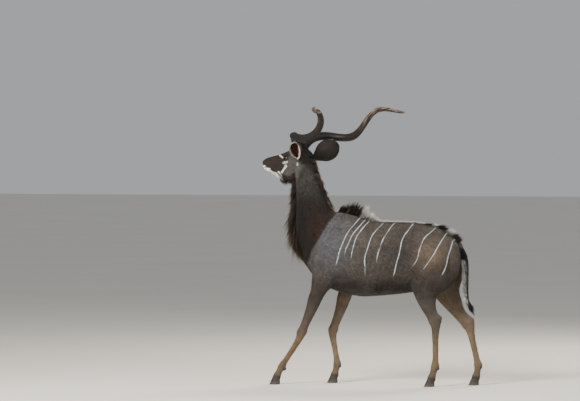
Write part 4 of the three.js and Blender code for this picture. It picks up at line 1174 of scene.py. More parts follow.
def short_hair_hide():
    """Sleek short hair on skin: matt, with a faint silky sheen, and a bump drawn out along its lie."""
    material, tree = new_material("short kudu hair on hide")
    colour = add(tree, "ShaderNodeAttribute", attribute_name="coat_colour").outputs["Color"]
    place = add(tree, "ShaderNodeTexCoord").outputs["Object"]
    drawn = add(tree, "ShaderNodeMapping", {"Vector": place, "Scale": (0.35, 1.0, 0.6)})
    along_hair = {"Vector": drawn.outputs[0]}
    hairs = add(tree, "ShaderNodeTexNoise", {**along_hair, "Scale": HAIR_SCALE, "Detail": 3.0})
    clumps = add(tree, "ShaderNodeTexNoise", {**along_hair, "Scale": CLUMP_SCALE, "Detail": 4.0})
    fine = add(tree, "ShaderNodeBump",
               {"Height": hairs.outputs["Fac"], "Strength": 0.35, "Distance": 0.0012})
    coarse = add(tree, "ShaderNodeBump", {
        "Height": clumps.outputs["Fac"], "Strength": 0.4, "Distance": 0.003,
        "Normal": fine.outputs["Normal"]})
    finish_material(tree, add(tree, "ShaderNodeBsdfPrincipled", {
        "Base Color": marked_colour(tree, colour), "Roughness": 0.72, "Specular IOR Level": 0.20,
        "Sheen Weight": 0.04, "Sheen Roughness": 0.5, "Normal": coarse.outputs["Normal"]}))
    return material


hide_material = short_hair_hide()


# Coat
# Short flat hair over the whole animal. The skin's bump shows most of it, and solid tufts, rooted in
# the skin and lying along it, break its outline on every side, smallest on the face and the feet.

# Lengths of the short hair in metres.
BODY_HAIR = 0.019
LEG_HAIR = 0.0125
FOOT_HAIR = 0.0080
HEAD_HAIR = 0.0115
MUZZLE_HAIR = 0.0060
EAR_BACK_HAIR = 0.011
# A tuft's size on the unwrapped skin, and how far its root lies under the skin, as a share of its length.
HAIR_PATCH = 0.003
TUFT_SINK = -0.06
TIP_LIGHTER = (1.32, 1.32, 1.32)


def hair_strand(places, sides, reach, aside, bend, flatness, start):
    """Rings of one hair or pointed lock of unit length, from its root up to just below its tip."""
    angles = round_angles(sides) + 0.5
    rings = []
    for t in places:
        width = 0.5 * (1 - t) ** 0.75 * (0.75 + 0.5 * t)
        centre = np.array([bend * t**2, start + aside * t**1.3, TUFT_SINK + t * (reach - TUFT_SINK)])
        rings.append(centre + np.stack([np.cos(angles) * width * flatness, np.sin(angles) * width,
                                        np.zeros(sides)], 1))
    tip = np.array([bend, start + aside, reach])
    return rings, tip


def tuft_object(name, strands, places, sides, seed, spread=0.0, flatness=0.3):
    """A tuft of a few strands. Each point keeps how near the tip it is, and its place on the tuft."""
    draw = np.random.default_rng(seed)
    vertices, faces, tips, flat = [], [], [], []
    for strand in range(strands):
        share = 0.0 if strands == 1 else strand / (strands - 1) - 0.5
        reach = 1.0 if strand == strands // 2 else draw.uniform(0.68, 0.98)
        rings, tip = hair_strand(places, sides, reach, spread * share * 2 + draw.normal() * 0.1 * spread,
                                 draw.uniform(-0.5, 1.1) * 0.5 * (spread > 0), flatness, share * 1.6)
        first = len(vertices)
        for t, ring in zip(places, rings):
            vertices += ring.tolist()
            tips += [t * reach] * sides
            flat += [(share * 0.9 + 0.5 + 0.04 * k, t, 0) for k in range(sides)]
        vertices.append(tip.tolist())
        tips.append(reach)
        flat.append((share * 0.9 + 0.5, 1, 0))
        for ring in range(len(places) - 1):
            for k in range(sides):
                a, b = first + ring * sides + k, first + ring * sides + (k + 1) % sides
                faces.append((a, b, b + sides, a + sides))
        last = first + (len(places) - 1) * sides
        faces += [(last + k, last + (k + 1) % sides, len(vertices) - 1) for k in range(sides)]
        faces.append(tuple(range(first + sides - 1, first - 1, -1)))
    mesh = bpy.data.meshes.new(name)
    mesh.from_pydata(vertices, [], faces)
    mesh.polygons.foreach_set("use_smooth", [True] * len(faces))
    point_values(mesh, "tip", tips)
    point_values(mesh, "blade", flat)
    return bpy.data.objects.new(name, mesh)


def coat_tree():
    """Grows tufts on a skin: scattered by a zone, laid by a direction kept on the skin, then realized."""
    tree = bpy.data.node_groups.new("coat", "GeometryNodeTree")
    sockets = {
        "Skin": "Geometry", "Tuft": "Object", "Zone": "String", "Lie": "String", "Reach": "String",
        "Density": "Float", "Seed": "Int", "Width": "Float", "Sway": "Float", "Hair": "Material",
    }
    for name, kind in sockets.items():
        tree.interface.new_socket(name=name, in_out="INPUT", socket_type="NodeSocket" + kind)
    tree.interface.new_socket(name="Coat", in_out="OUTPUT", socket_type="NodeSocketGeometry")
    given = add(tree, "NodeGroupInput").outputs

    def kept(name, kind="FLOAT"):
        return add(tree, "GeometryNodeInputNamedAttribute", {"Name": name}, data_type=kind).outputs[0]

    def chance(low, high, number):
        seed = add(tree, "ShaderNodeMath", {0: given["Seed"], 1: float(number)}, operation="ADD")
        return add(tree, "FunctionNodeRandomValue", {2: low, 3: high, "Seed": seed.outputs[0]}).outputs[1]

    def times(first, second):
        return add(tree, "ShaderNodeMath", {0: first, 1: second}, operation="MULTIPLY").outputs[0]

    def store(geometry, name, value, kind, domain):
        inputs = {"Geometry": geometry, "Name": name, "Value": value}
        node = add(tree, "GeometryNodeStoreNamedAttribute", inputs, data_type=kind, domain=domain)
        return node.outputs[0]

    def vector_maths(operation, inputs):
        return add(tree, "ShaderNodeVectorMath", inputs, operation=operation).outputs[0]

    density = times(kept(given["Zone"]), given["Density"])
    scatter = add(tree, "GeometryNodeDistributePointsOnFaces",
                  {"Mesh": given["Skin"], "Density": density, "Seed": given["Seed"]})
    laid_way = add(tree, "FunctionNodeAxesToRotation", {
        "Primary Axis": kept(given["Lie"], "FLOAT_VECTOR"), "Secondary Axis": scatter.outputs["Normal"],
    }, primary_axis="Z", secondary_axis="X")
    sway = [times(chance(-1.0, 1.0, number), given["Sway"]) for number in (1, 2, 3)]
    swing = add(tree, "ShaderNodeCombineXYZ", {"X": sway[0], "Y": times(sway[1], 0.6), "Z": sway[2]})
    turned_way = add(tree, "FunctionNodeRotateRotation", {
        "Rotation": laid_way.outputs[0],
        "Rotate By": add(tree, "FunctionNodeEulerToRotation", {0: swing.outputs[0]}).outputs[0],
    }, rotation_space="LOCAL")
    length = times(kept(given["Reach"]), chance(0.7, 1.25, 4))
    width = times(given["Width"], chance(0.7, 1.3, 5))
    size = add(tree, "ShaderNodeCombineXYZ", {"X": width, "Y": width, "Z": length})
    points = scatter.outputs["Points"]
    points = store(points, "root_map", kept("unwrap", "FLOAT_VECTOR"), "FLOAT_VECTOR", "POINT")
    points = store(points, "shade", chance(0.0, 1.0, 6), "FLOAT", "POINT")
    tuft = add(tree, "GeometryNodeObjectInfo", {"Object": given["Tuft"]}).outputs["Geometry"]
    tufts = add(tree, "GeometryNodeInstanceOnPoints", {
        "Points": points, "Instance": tuft, "Rotation": turned_way.outputs[0], "Scale": size.outputs[0]})
    solid = add(tree, "GeometryNodeRealizeInstances", {"Geometry": tufts.outputs[0]}).outputs[0]
    on_tuft = vector_maths("SUBTRACT", {0: kept("blade", "FLOAT_VECTOR"), 1: (0.5, 0.5, 0.0)})
    patch = vector_maths("SCALE", {0: on_tuft, "Scale": HAIR_PATCH})
    place = vector_maths("ADD", {0: kept("root_map", "FLOAT_VECTOR"), 1: patch})
    mapped = store(solid, "OFBake", place, "FLOAT2", "CORNER")
    dressed = add(tree, "GeometryNodeSetMaterial", {"Geometry": mapped, "Material": given["Hair"]})
    add(tree, "NodeGroupOutput", {"Coat": dressed.outputs[0]})
    return tree


def only_shown(mesh):
    """Drops the values that only steer the hair's growth, and keeps those that the materials read."""
    for name in [*zones, "hair_length", "hair_reach", "hair_way", "lie", "root_map"]:
        if name in mesh.attributes:
            mesh.attributes.remove(mesh.attributes[name])


def unwrapped(mesh):
    """An unwrap of the skin's own shape, as a UV map named unwrap."""
    thing = add_object("skin_to_unwrap", mesh)
    bpy.context.view_layer.objects.active = thing
    thing.select_set(True)
    mesh.uv_layers.new(name="unwrap")
    bpy.ops.object.mode_set(mode="EDIT")
    bpy.ops.mesh.select_all(action="SELECT")
    bpy.ops.uv.smart_project(angle_limit=math.radians(66), island_margin=0.002)
    bpy.ops.object.mode_set(mode="OBJECT")
    bpy.data.objects.remove(thing)


def grown(name, zone, number, width, sway, seed, tuft, material, lie_name, reach_name):
    """One piece of the coat, of about the given number of tufts, as a plain mesh."""
    areas = np.empty(len(skin_copy.polygons))
    skin_copy.polygons.foreach_get("area", areas)
    starts = np.empty(len(skin_copy.polygons), np.int64)
    skin_copy.polygons.foreach_get("loop_start", starts)
    corners = np.empty(len(skin_copy.loops), np.int64)
    skin_copy.loops.foreach_get("vertex_index", corners)
    area = (areas * zones[zone][corners[starts]]).sum()
    carrier = add_object("carrier", skin_copy)
    growth = carrier.modifiers.new("coat", "NODES")
    growth.node_group = coat_nodes
    values = {"Tuft": tuft, "Zone": zone, "Lie": lie_name, "Reach": reach_name, "Density": number / area,
              "Seed": seed, "Width": width, "Sway": sway, "Hair": material}
    for item in coat_nodes.interface.items_tree:
        if item.in_out == "INPUT" and item.name in values:
            growth[item.identifier] = values[item.name]
    evaluated = carrier.evaluated_get(bpy.context.evaluated_depsgraph_get())
    mesh = bpy.data.meshes.new_from_object(evaluated)
    bpy.data.objects.remove(carrier)
    mesh.name = name
    only_shown(mesh)
    piece = add_object(name, mesh)
    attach(piece, "root")


def hair_material(name, marked):
    """Hair with a soft sheen: each tuft a little lighter or darker, and turning to its tip's tone."""
    material, tree = new_material(name)

    def attribute(key, output):
        return add(tree, "ShaderNodeAttribute", attribute_name=key).outputs[output]

    toward_tip = add(tree, "ShaderNodeMapRange",
                     {"Value": attribute("tip", "Fac"), "From Min": 0.35, "From Max": 1.0})
    if marked:
        below = marked_colour(tree, attribute("coat_colour", "Color"))
        lighter = add(tree, "ShaderNodeVectorMath", {0: below, 1: TIP_LIGHTER}, operation="MULTIPLY")
        above = lighter.outputs[0]
    else:
        below, above = attribute("hair_root", "Color"), attribute("hair_tip", "Color")
    colour = add(tree, "ShaderNodeMix", {"Factor": toward_tip.outputs[0], 6: below, 7: above},
                 data_type="RGBA")
    shade = add(tree, "ShaderNodeMapRange",
                {"Value": attribute("shade", "Fac"), "To Min": 0.78, "To Max": 1.22})
    toned = add(tree, "ShaderNodeVectorMath", {0: colour.outputs[2], "Scale": shade.outputs[0]},
                operation="SCALE")
    finish_material(tree, add(tree, "ShaderNodeBsdfPrincipled", {
        "Base Color": toned.outputs[0], "Roughness": 0.62, "Specular IOR Level": 0.22,
        "Sheen Weight": 0.04, "Sheen Roughness": 0.45}))
    return material


x, y, z = points.T
mirrored_head = on_left(head)
forward, out, up = mirrored_head.T
on_skin = ear == 0
on_head = on_skin & (head_part > 0.5)
on_tail = on_skin & (tail_share(points) > 0.5)
on_neck = on_skin & ~on_head & (neck_share(points) > 0.5)
belly = (z > 0.69) & (x > -0.38) & (x < 0.22)
on_leg = on_skin & ~on_tail & ~belly & (z < 0.74)
on_trunk = on_skin & ~on_head & ~on_neck & ~on_leg & ~on_tail
# Bare skin on the nose, in the nostrils, round the eyes and a little ahead of them, and under the horns.
bare = np.maximum.reduce([
    step_up(forward + 0.55 * up + 0.35 * (0.020 - out), 0.352, 0.362),
    near(slanted(mirrored_head - NOSTRIL_PLACE), [0, 0, 0], [0.014, 0.03, 0.008]),
    step_up(eye_inside(head), -0.0060, -0.0040) * (out > 0.03),
    step_up(eye_inside(head - [0.009, 0, 0.001]), -0.0060, -0.0040) * (out > 0.03),
    1 - step_up(np.linalg.norm(mirrored_head - [0, HORN_SPACING, 0], axis=1), 0.042, 0.050),
])
zones = {
    "left_side": on_trunk & (y >= 0), "right_side": on_trunk & (y < 0), "on_neck": on_neck,
    "forelegs": on_leg & (x > 0) & (z > 0.055), "hind_legs": on_leg & (x < 0) & (z > 0.055),
    "on_head": on_head * (1 - bare), "on_ears": (ear != 0) & (ear_along > 0.04),
}
hair_length = BODY_HAIR + 0.005 * on_neck + 0.006 * step_up(-normals[:, 2], 0.4, 0.9) * on_trunk
hair_length += (LEG_HAIR - hair_length) * (1 - step_up(z, 0.62, 0.80))
hair_length += (FOOT_HAIR - hair_length) * (1 - step_up(z, 0.10, 0.34))
hair_length += (HEAD_HAIR - hair_length) * head_part
hair_length += (MUZZLE_HAIR - hair_length) * head_part * step_up(forward, 0.08, 0.26)
ear_edge = ear_inner * step_up(np.abs(ear_across), 0.6, 0.9)
hair_length[ear != 0] = EAR_BACK_HAIR + 0.006 * ear_edge[ear != 0]


# Mane, fringe, crests and tail
# Longer, coarser hair in pointed locks: a short mane down the nape, a fringe from the throat to the
# brisket, a beard, a crest over the withers that turns from dark to white, tufts on the rump, the
# tail's switch, and soft white hair inside the ears. Each lock is a few strands from one root.
LOCK_STEPS = (0.0, 0.22, 0.46, 0.72)
UPWARD = np.array([math.pi / 2])
DOWNWARD = -UPWARD


def line_share(line, wide):
    """How near a point is to a line along the body, 1 on it and 0 past its width."""
    away, place = line_distance(points, line)
    return (1 - step_up(away, wide * 0.6, wide)) * on_skin, place


def mixed(first, second, share):
    first, second = np.array(linear(first)), np.array(linear(second))
    return first + (second - first) * share[:, None]


def set_hair(share, way, reach, root_colour, tip_colour):
    """Gives the points of one zone their hair's direction, length and colours."""
    here = share > 0
    inner = step_up(share, 0.0, 0.3)[:, None]
    hair_way[here] = unit(np.broadcast_to(way, (count, 3)))[here]
    hair_reach[here] = np.broadcast_to(reach, count)[here]
    hair_root[here] = (coat_colour + (root_colour - coat_colour) * inner)[here]
    hair_tip[here] = (root_colour + (tip_colour - root_colour) * inner)[here]


hair_way = lie.copy()
hair_reach = np.full(count, 0.03)
hair_root, hair_tip = coat_colour.copy(), coat_colour.copy()
uneven = 0.5 + 0.5 * mottle(points, 0.018, 31)
tipped = step_up(0.5 + 0.5 * mottle(points, 0.010, 32), 0.55, 0.95)
neck_slope = np.radians(np.interp(z, [row[1] for row in NECK_ROWS], [row[4] for row in NECK_ROWS]))
down_neck = np.stack([-np.cos(neck_slope), 0 * z, -np.sin(neck_slope)], 1)
out_of_throat = np.stack([np.sin(neck_slope), 0 * z, -np.cos(neck_slope)], 1)
sideways = np.stack([0 * z, np.sign(y) * np.minimum(np.abs(y) / 0.02, 1), 0 * z], 1)

# A short dark mane down the nape.
nape, along_nape = line_share(neck_form(steps(1.75, 6.5, 40), UPWARD)[:, 0], 0.019)
set_hair(nape, down_neck - out_of_throat * 0.50 + sideways * 0.30, 0.046 + 0.024 * uneven,
         mixed(0x14100E, 0x2E1D17, 1 - along_nape), mixed(0x261B17, 0xB9A68D, tipped))

# The fringe from the throat to the brisket, longest in the middle of the neck.
throat, along_throat = line_share(neck_form(steps(0.75, 4.8, 40), DOWNWARD)[:, 0], 0.036)
fringe_reach = np.interp(z, [1.06, 1.12, 1.20, 1.30, 1.40, 1.50, 1.60, 1.69],
                         [0.080, 0.130, 0.190, 0.225, 0.190, 0.125, 0.070, 0.042])
set_hair(throat, down_neck + out_of_throat * 1.25 + sideways * 0.20, fringe_reach * (0.72 + 0.5 * uneven),
         mixed(0x1C1613, 0x33251D, uneven),
         mixed(0x3C2A1E, 0xB09776, tipped * (1 - step_up(z, 1.40, 1.54))))

# The beard, dark under the jaw and white at the chin.
beard_line = from_head(head_section(steps(0.12, 0.335, 28), DOWNWARD))[:, 0]
beard, along_beard = line_share(beard_line, 0.020)
beard_white = step_up(along_beard + 0.03 * (uneven - 0.5), 0.79, 0.83)
beard_reach = np.interp(along_beard, [0.0, 0.19, 0.37, 0.56, 0.71, 0.80, 0.88, 0.94, 1.0],
                        [0.030, 0.060, 0.074, 0.084, 0.092, 0.104, 0.082, 0.050, 0.026])
beard_way = np.array([-0.34, 0, -0.94]) + np.array([-0.20, 0, 0.09]) * beard_white[:, None]
set_hair(beard, beard_way @ HEAD_WAYS + sideways * 0.10, beard_reach * (0.85 + 0.3 * uneven),
         mixed(0x1E1411, 0xE3DED6, beard_white), mixed(0x2E1F19, 0xF0EDE8, beard_white))

# The crest, tall and dark over the withers, then white and ever shorter along the back.
crest, along_crest = line_share(trunk_form(steps(0.29, -0.52, 60), UPWARD)[:, 0], 0.020)
crest_white = step_up(along_crest + 0.03 * (uneven - 0.5), 0.195, 0.225)
crest_tall = np.interp(along_crest, [0.0, 0.05, 0.12, 0.22, 0.30, 0.37, 0.40, 1.0],
                       [0.55, 0.85, 1.0, 1.0, 0.62, 0.32, 0.22, 0.13])
swept_back = np.array([0.35, 0, 0]) * (crest_tall < 0.5)[:, None]
crest_way = np.array([-0.48, 0, 0.88]) + sideways * 0.24 - swept_back
set_hair(crest, crest_way, (0.082 + 0.048 * uneven) * crest_tall,
         mixed(0x150D0A, 0x8A8883, crest_white), mixed(0x2A1B15, 0xE2E1DE, crest_white))

# Tufts in dark and white patches over the rump.
rump, along_rump = line_share(trunk_form(steps(-0.42, -0.668, 32), UPWARD)[:, 0], 0.022)
rump_white = np.interp(along_rump + 0.05 * (uneven - 0.5),
                       [0.15, 0.19, 0.30, 0.34, 0.60, 0.64, 0.82, 0.87], [0, 1, 1, 0, 0, 1, 1, 0])
rump_reach = np.interp(along_rump, [0.0, 0.3, 0.6, 1.0], [0.020, 0.038, 0.052, 0.050])
set_hair(rump, np.array([-0.88, 0, 0.48]) + sideways * 0.25, rump_reach * (0.8 + 0.4 * uneven),
         mixed(0x1D1714, 0x8A8A8A, rump_white), mixed(0x2A211C, 0xE2E4E6, rump_white))

# The tail's hair, white in front and dark behind, with a dark tip that curls back.
switch = on_tail * step_up(-z, -1.125, -1.095)
switch_reach = np.interp(z, [0.62, 0.72, 0.95, 1.05, 1.11], [0.072, 0.050, 0.052, 0.034, 0.026])
tail_tip = step_up(-z + 0.02 * (uneven - 0.5), -0.70, -0.66)
tail_dark = np.clip(step_up(-normals[:, 0], -0.30, 0.10) + tail_tip, 0, 1)
tail_way = np.array([0.05, 0, -1.0]) + np.array([-0.60, 0, 0.10]) * tail_tip[:, None]
set_hair(switch, tail_way + normals * 0.16, switch_reach * (0.8 + 0.4 * uneven),
         mixed(0xC9C8C5, 0x15110F, tail_dark), mixed(0xE9E9E8, 0x1C1613, tail_dark))

# White hair inside the ears, in from both edges.
ear_fringe = ear_inner * step_up(np.abs(ear_across), 0.70, 0.82) * (np.abs(ear_across) < 0.93)
ear_fringe *= (ear_along > 0.12) * (1 - step_up(ear_along, 0.80, 0.92))
ear_white = mixed(0xD9CFC2, 0xEFE9E0, uneven)
ear_reach = np.where(ear_across > 0, 0.010, 0.015) + 0.007 * uneven
for side in (1, -1):
    _, ear_lie, facing, across_way = ear_frame(side)
    from_edge = (np.sign(ear_across) * 0.5)[:, None] * (across_way @ HEAD_WAYS)
    ear_way = ((ear_lie * 0.85 + facing * 0.55) @ HEAD_WAYS) - from_edge
    set_hair(ear_fringe * (ear == side), ear_way, ear_reach, ear_white, ear_white)

zones.update({
    "nape": nape, "throat": throat * (along_throat > 0.01), "beard": beard, "crest": crest,
    "rump": rump, "switch": switch, "ear_fringe": ear_fringe,
})
unwrapped(hide_mesh)
HAIR_VALUES = {"hair_length": hair_length, "hair_reach": hair_reach, "hair_way": hair_way,
               "hair_root": hair_root, "hair_tip": hair_tip}
for name, values in HAIR_VALUES.items():
    point_values(hide_mesh, name, values)
for name, zone in zones.items():
    zones[name] = np.asarray(zone, float)
    point_values(hide_mesh, name, zones[name])
coat_nodes = coat_tree()
short_tuft = tuft_object("short_tuft", 1, (0.0, 0.5), 3, 1)
coat_hair = hair_material("short kudu coat hair", True)
# Each row is [piece, zone, tufts, width, sway, seed].
COAT_PIECES = [
    ["coat_left_side", "left_side", 17800, 0.0044, 0.14, 11],
    ["coat_right_side", "right_side", 17800, 0.0044, 0.14, 12],
    ["coat_neck", "on_neck", 15500, 0.0046, 0.18, 13],
    ["coat_forelegs", "forelegs", 10800, 0.0036, 0.12, 14],
    ["coat_hind_legs", "hind_legs", 11800, 0.0036, 0.12, 15],
    ["coat_head", "on_head", 16800, 0.0024, 0.14, 16],
    ["coat_ears", "on_ears", 7000, 0.0028, 0.16, 17],
]

hide_mesh.name = "kudu_hide"
finished("kudu_hide", hide_mesh, hide_material, "coat", "torso", "neck", "head", "tail", "foreleg_left",
         "foreleg_right", "hind_leg_left", "hind_leg_right", "ear_left", "ear_right")
skin_copy = hide_mesh.copy()
for row in COAT_PIECES:
    grown(*row, short_tuft, coat_hair, "lie", "hair_length")

long_hair = hair_material("coarse kudu mane hair", False)
lock = tuft_object("lock", 5, LOCK_STEPS, 3, 5, spread=2.2, flatness=0.5)
# Each row is [piece, zone, locks, width, sway, seed].
LONG_PIECES = [
    ["mane_nape", "nape", 640, 0.0060, 0.30, 41],
    ["fringe_throat", "throat", 1300, 0.0066, 0.26, 42],
    ["beard", "beard", 620, 0.0048, 0.18, 43],
    ["crest_withers", "crest", 1120, 0.0054, 0.26, 44],
    ["tufts_rump", "rump", 440, 0.0050, 0.30, 45],
    ["tail_switch", "switch", 860, 0.0050, 0.14, 46],
]
for row in LONG_PIECES:
    grown(*row, lock, long_hair, "hair_way", "hair_reach")
EAR_TUFTS = ["hair_in_ears", "ear_fringe", 2600, 0.0026, 0.30, 57]
grown(*EAR_TUFTS, short_tuft, long_hair, "hair_way", "hair_reach")


# Horns
# Two black-brown corkscrews of horn round a bony core, about one metre along the curl. A keel winds
# round them, low growth rings run towards the base, and pale patches near the tips are partly wear and
# partly painted sunlight on their upper sides, most on the right horn.
HORN_LENGTH = 0.861
HORN_SPREAD = math.radians(32.3)
HORN_RISE = math.radians(7.6)
HORN_COIL_RADIUS = 0.081
HORN_COIL_GROWTH = 0.111
HORN_COIL_TAPER = 0.42
HORN_COIL_START = math.radians(272.6)
HORN_TURNS = 1.37
HORN_TURN_POWER = 1.44
HORN_BASE_RADIUS = 0.039
HORN_KEEL = 0.16
HORN_ROOT = 0.030
HORN_STEPS = 420
HORN_SIDES = 40
# How much of each horn's outer half is painted pale, by side: worn streaks on both, and painted sunlight
# as well on the right one.
HORN_WEAR_AND_SUN = {1: 0.25, -1: 1.0}
# Streaks about 10 mm wide and 70 mm long, different on the two horns, and dusty clouds 38 mm across.
STREAKS_ROUND = 4
STREAKS_ALONG = 14
HORN_CLOUD_SCALE = 26.0
RING_SPACING = 0.017
RING_HEIGHT = 0.0011
# Each row is [place along the horn, share of the base's thickness].
HORN_THICKNESS = [[0, 1], [0.22, 0.86], [0.5, 0.7], [0.62, 0.62], [0.8, 0.48], [0.93, 0.34],
                  [0.985, 0.21], [1, 0.06]]


def horn_centre(side, t):
    """The centre line of a horn in the head's frame, and the way from the coil's axis to it."""
    axis = np.array([-math.cos(HORN_SPREAD) * math.cos(HORN_RISE),
                     side * math.sin(HORN_SPREAD) * math.cos(HORN_RISE), math.sin(HORN_RISE)])
    outward = np.array([0.0, side, 0.0])
    outward = unit(outward - outward @ axis * axis)
    upward = np.cross(axis, outward) * side
    t = np.asarray(t, float)[:, None]
    opening = (1 - np.exp(-t / HORN_COIL_GROWTH)) * (1 - HORN_COIL_TAPER * t)
    turn = HORN_COIL_START + 2 * math.pi * HORN_TURNS * np.maximum(t, 0) ** HORN_TURN_POWER
    radial = outward * np.cos(turn) + upward * np.sin(turn)
    base = np.array([0.0, side * HORN_SPACING, 0.0])
    return base + axis * HORN_LENGTH * t + radial * HORN_COIL_RADIUS * opening, radial


def horn_rings(side):
    """Rings of points from the root, sunk in the skull, to the tip, and how far along each lies."""
    t = steps(0, 1, HORN_STEPS) ** 1.05
    centre, radial = horn_centre(side, t)
    ahead, _ = horn_centre(side, t + 0.004)
    tangent = unit(ahead - centre)
    first = unit(radial - (radial * tangent).sum(1, keepdims=True) * tangent)
    second = np.cross(tangent, first) * side
    length = np.concatenate([[0], np.cumsum(np.linalg.norm(np.diff(centre, axis=0), axis=1))])
    angles = round_angles(HORN_SIDES)
    keel = 1 + HORN_KEEL * np.maximum(np.cos(angles), 0) ** 6 + 0.03 * np.maximum(-np.cos(angles), 0) ** 4
    thickness = HORN_BASE_RADIUS * between(HORN_THICKNESS, t)[:, 1]
    wave = length / RING_SPACING + 0.35 * np.sin(length * 47) + 0.25 * np.sin(length * 23 + side)
    strength = RING_HEIGHT * (1 - step_up(length, 0.45, 0.95)) * (0.8 + 0.4 * np.sin(length * 31 + side))
    rings = strength * np.abs(np.cos(wave * math.pi)) ** 1.5
    worn = 0.6 + 0.4 * np.cos(angles)[None]
    radius = thickness[:, None] * keel + rings[:, None] * worn
    points = centre[:, None] + radius[..., None] * (
        first[:, None] * np.cos(angles)[None, :, None] + second[:, None] * np.sin(angles)[None, :, None])
    root = centre[:1, None] + (points[:1] - centre[:1, None]) * 0.7 - tangent[0] * HORN_ROOT
    return from_head(np.concatenate([root, points])), np.concatenate([[0], length])


def horn_sheath():
    """Keratin with a silky gloss: near black below, brown above, with pale patches along its fibres,
    partly wear and partly painted sunlight on the upper side.
    """
    material, tree = new_material("horn keratin")
    along = add(tree, "ShaderNodeAttribute", attribute_name="along").outputs["Fac"]
    round_horn = add(tree, "ShaderNodeAttribute", attribute_name="round").outputs["Vector"]
    place = add(tree, "ShaderNodeTexCoord").outputs["Object"]
    streaks = add(tree, "ShaderNodeTexNoise", {"Vector": round_horn, "Scale": 1.0, "Detail": 5.0})
    cloud = add(tree, "ShaderNodeTexNoise", {"Vector": place, "Scale": HORN_CLOUD_SCALE, "Detail": 4.0})
    shade = add(tree, "ShaderNodeValToRGB", {"Fac": along})
    shade.color_ramp.elements[0].color = linear(0x0F1012)
    shade.color_ramp.elements[1].color = linear(0x584A3D)
    for at, colour in ((0.30, 0x141211), (0.60, 0x1C1613), (0.84, 0x30251E), (0.965, 0x372C24)):
        shade.color_ramp.elements.new(at).color = linear(colour)
    facing = add(tree, "ShaderNodeNewGeometry").outputs["Normal"]
    upward = add(tree, "ShaderNodeSeparateXYZ", {"Vector": facing}).outputs["Z"]
    # Painted light: surfaces that face up are pushed towards the pale patches, as if sunlit.
    above = add(tree, "ShaderNodeMath", {0: upward, 1: 0.12, 2: 0.06}, operation="MULTIPLY_ADD")
    patches = add(tree, "ShaderNodeMath", {0: streaks.outputs["Fac"], 1: above.outputs[0]},
                  operation="ADD")
    worn_and_sunlit = add(tree, "ShaderNodeMapRange",
                 {"Value": patches.outputs[0], "From Min": 0.58, "From Max": 0.66, "To Max": 0.90})
    outer_half = add(tree, "ShaderNodeMapRange", {"Value": along, "From Min": 0.52, "From Max": 0.70})
    share = add(tree, "ShaderNodeAttribute", attribute_name="wear_and_sun").outputs["Fac"]
    worn = add(tree, "ShaderNodeMath", {0: outer_half.outputs[0], 1: share}, operation="MULTIPLY")
    amount = add(tree, "ShaderNodeMath", {0: worn_and_sunlit.outputs[0], 1: worn.outputs[0]}, operation="MULTIPLY")
    pale = add(tree, "ShaderNodeMix", {"Factor": amount.outputs[0], 6: shade.outputs["Color"]},
               data_type="RGBA")
    pale.inputs[7].default_value = linear(0x8E7B69)
    dusty = add(tree, "ShaderNodeMapRange",
                {"Value": cloud.outputs["Fac"], "From Min": 0.4, "From Max": 0.8, "To Max": 0.3})
    colour = add(tree, "ShaderNodeMix", {"Factor": dusty.outputs[0], 6: pale.outputs[2]},
                 data_type="RGBA")
    colour.inputs[7].default_value = linear(0x2B2623)
    gloss = add(tree, "ShaderNodeMapRange",
                {"Value": cloud.outputs["Fac"], "To Min": 0.42, "To Max": 0.66})
    grain = add(tree, "ShaderNodeBump",
                {"Height": streaks.outputs["Fac"], "Strength": 0.35, "Distance": 0.0012})
    finish_material(tree, add(tree, "ShaderNodeBsdfPrincipled", {
        "Base Color": colour.outputs[2], "Roughness": gloss.outputs[0], "IOR": 1.50,
        "Specular IOR Level": 0.25, "Normal": grain.outputs["Normal"]}))
    return material


horn_keratin = horn_sheath()
for side, name in ((1, "horn_left"), (-1, "horn_right")):
    rings, length = horn_rings(side)
    horn_mesh = joined_mesh(name + "_sheath", [rings])
    angles = np.tile(round_angles(HORN_SIDES), len(rings))
    reach = np.repeat(length, HORN_SIDES)
    along = reach / reach.max()
    fibres = np.stack([np.cos(angles) * STREAKS_ROUND, np.sin(angles) * STREAKS_ROUND,
                       reach * STREAKS_ALONG + side * 3], 1)
    point_values(horn_mesh, "along", along)
    point_values(horn_mesh, "wear_and_sun", HORN_WEAR_AND_SUN[side] * (1 - 0.7 * step_up(along, 0.9, 0.97)))
    point_values(horn_mesh, "round", fibres)
    finished(name + "_sheath", horn_mesh, horn_keratin, "horn", name)


# Eyes
# Large dark balls, wet and clear over a brown iris with a level pupil. They sit behind the lids, deep in
# sockets of the hide, and only the part between the lids shows.
EYE_RINGS = 48
EYE_SIDES = 64


def eye_gloss():
    """A wet cornea over a brown iris: very dark, with one sharp highlight."""
    material, tree = new_material("wet eyeball")
    centre_way = add(tree, "ShaderNodeAttribute", attribute_name="gaze").outputs["Vector"]
    parts = add(tree, "ShaderNodeSeparateXYZ", {"Vector": centre_way})
    level = add(tree, "ShaderNodeMath", {0: parts.outputs["X"], 1: 0.75}, operation="MULTIPLY")
    flat = add(tree, "ShaderNodeCombineXYZ", {"X": level.outputs[0], "Y": parts.outputs["Z"]})
    away = add(tree, "ShaderNodeVectorMath", {0: flat.outputs[0]}, operation="LENGTH")
    iris = add(tree, "ShaderNodeValToRGB", {"Fac": away.outputs["Value"]})
    iris.color_ramp.elements[0].color = linear(0x07060A)
    iris.color_ramp.elements[1].color = linear(0x0E0908)
    for at, colour in ((0.36, 0x080606), (0.46, 0x180E0A), (0.62, 0x20130D), (0.76, 0x0C0807)):
        iris.color_ramp.elements.new(at).color = linear(colour)
    finish_material(tree, add(tree, "ShaderNodeBsdfPrincipled", {
        "Base Color": iris.outputs["Color"], "Roughness": 0.06, "IOR": 1.40,
        "Coat Weight": 1.0, "Coat Roughness": 0.02, "Coat IOR": 1.38}))
    return material


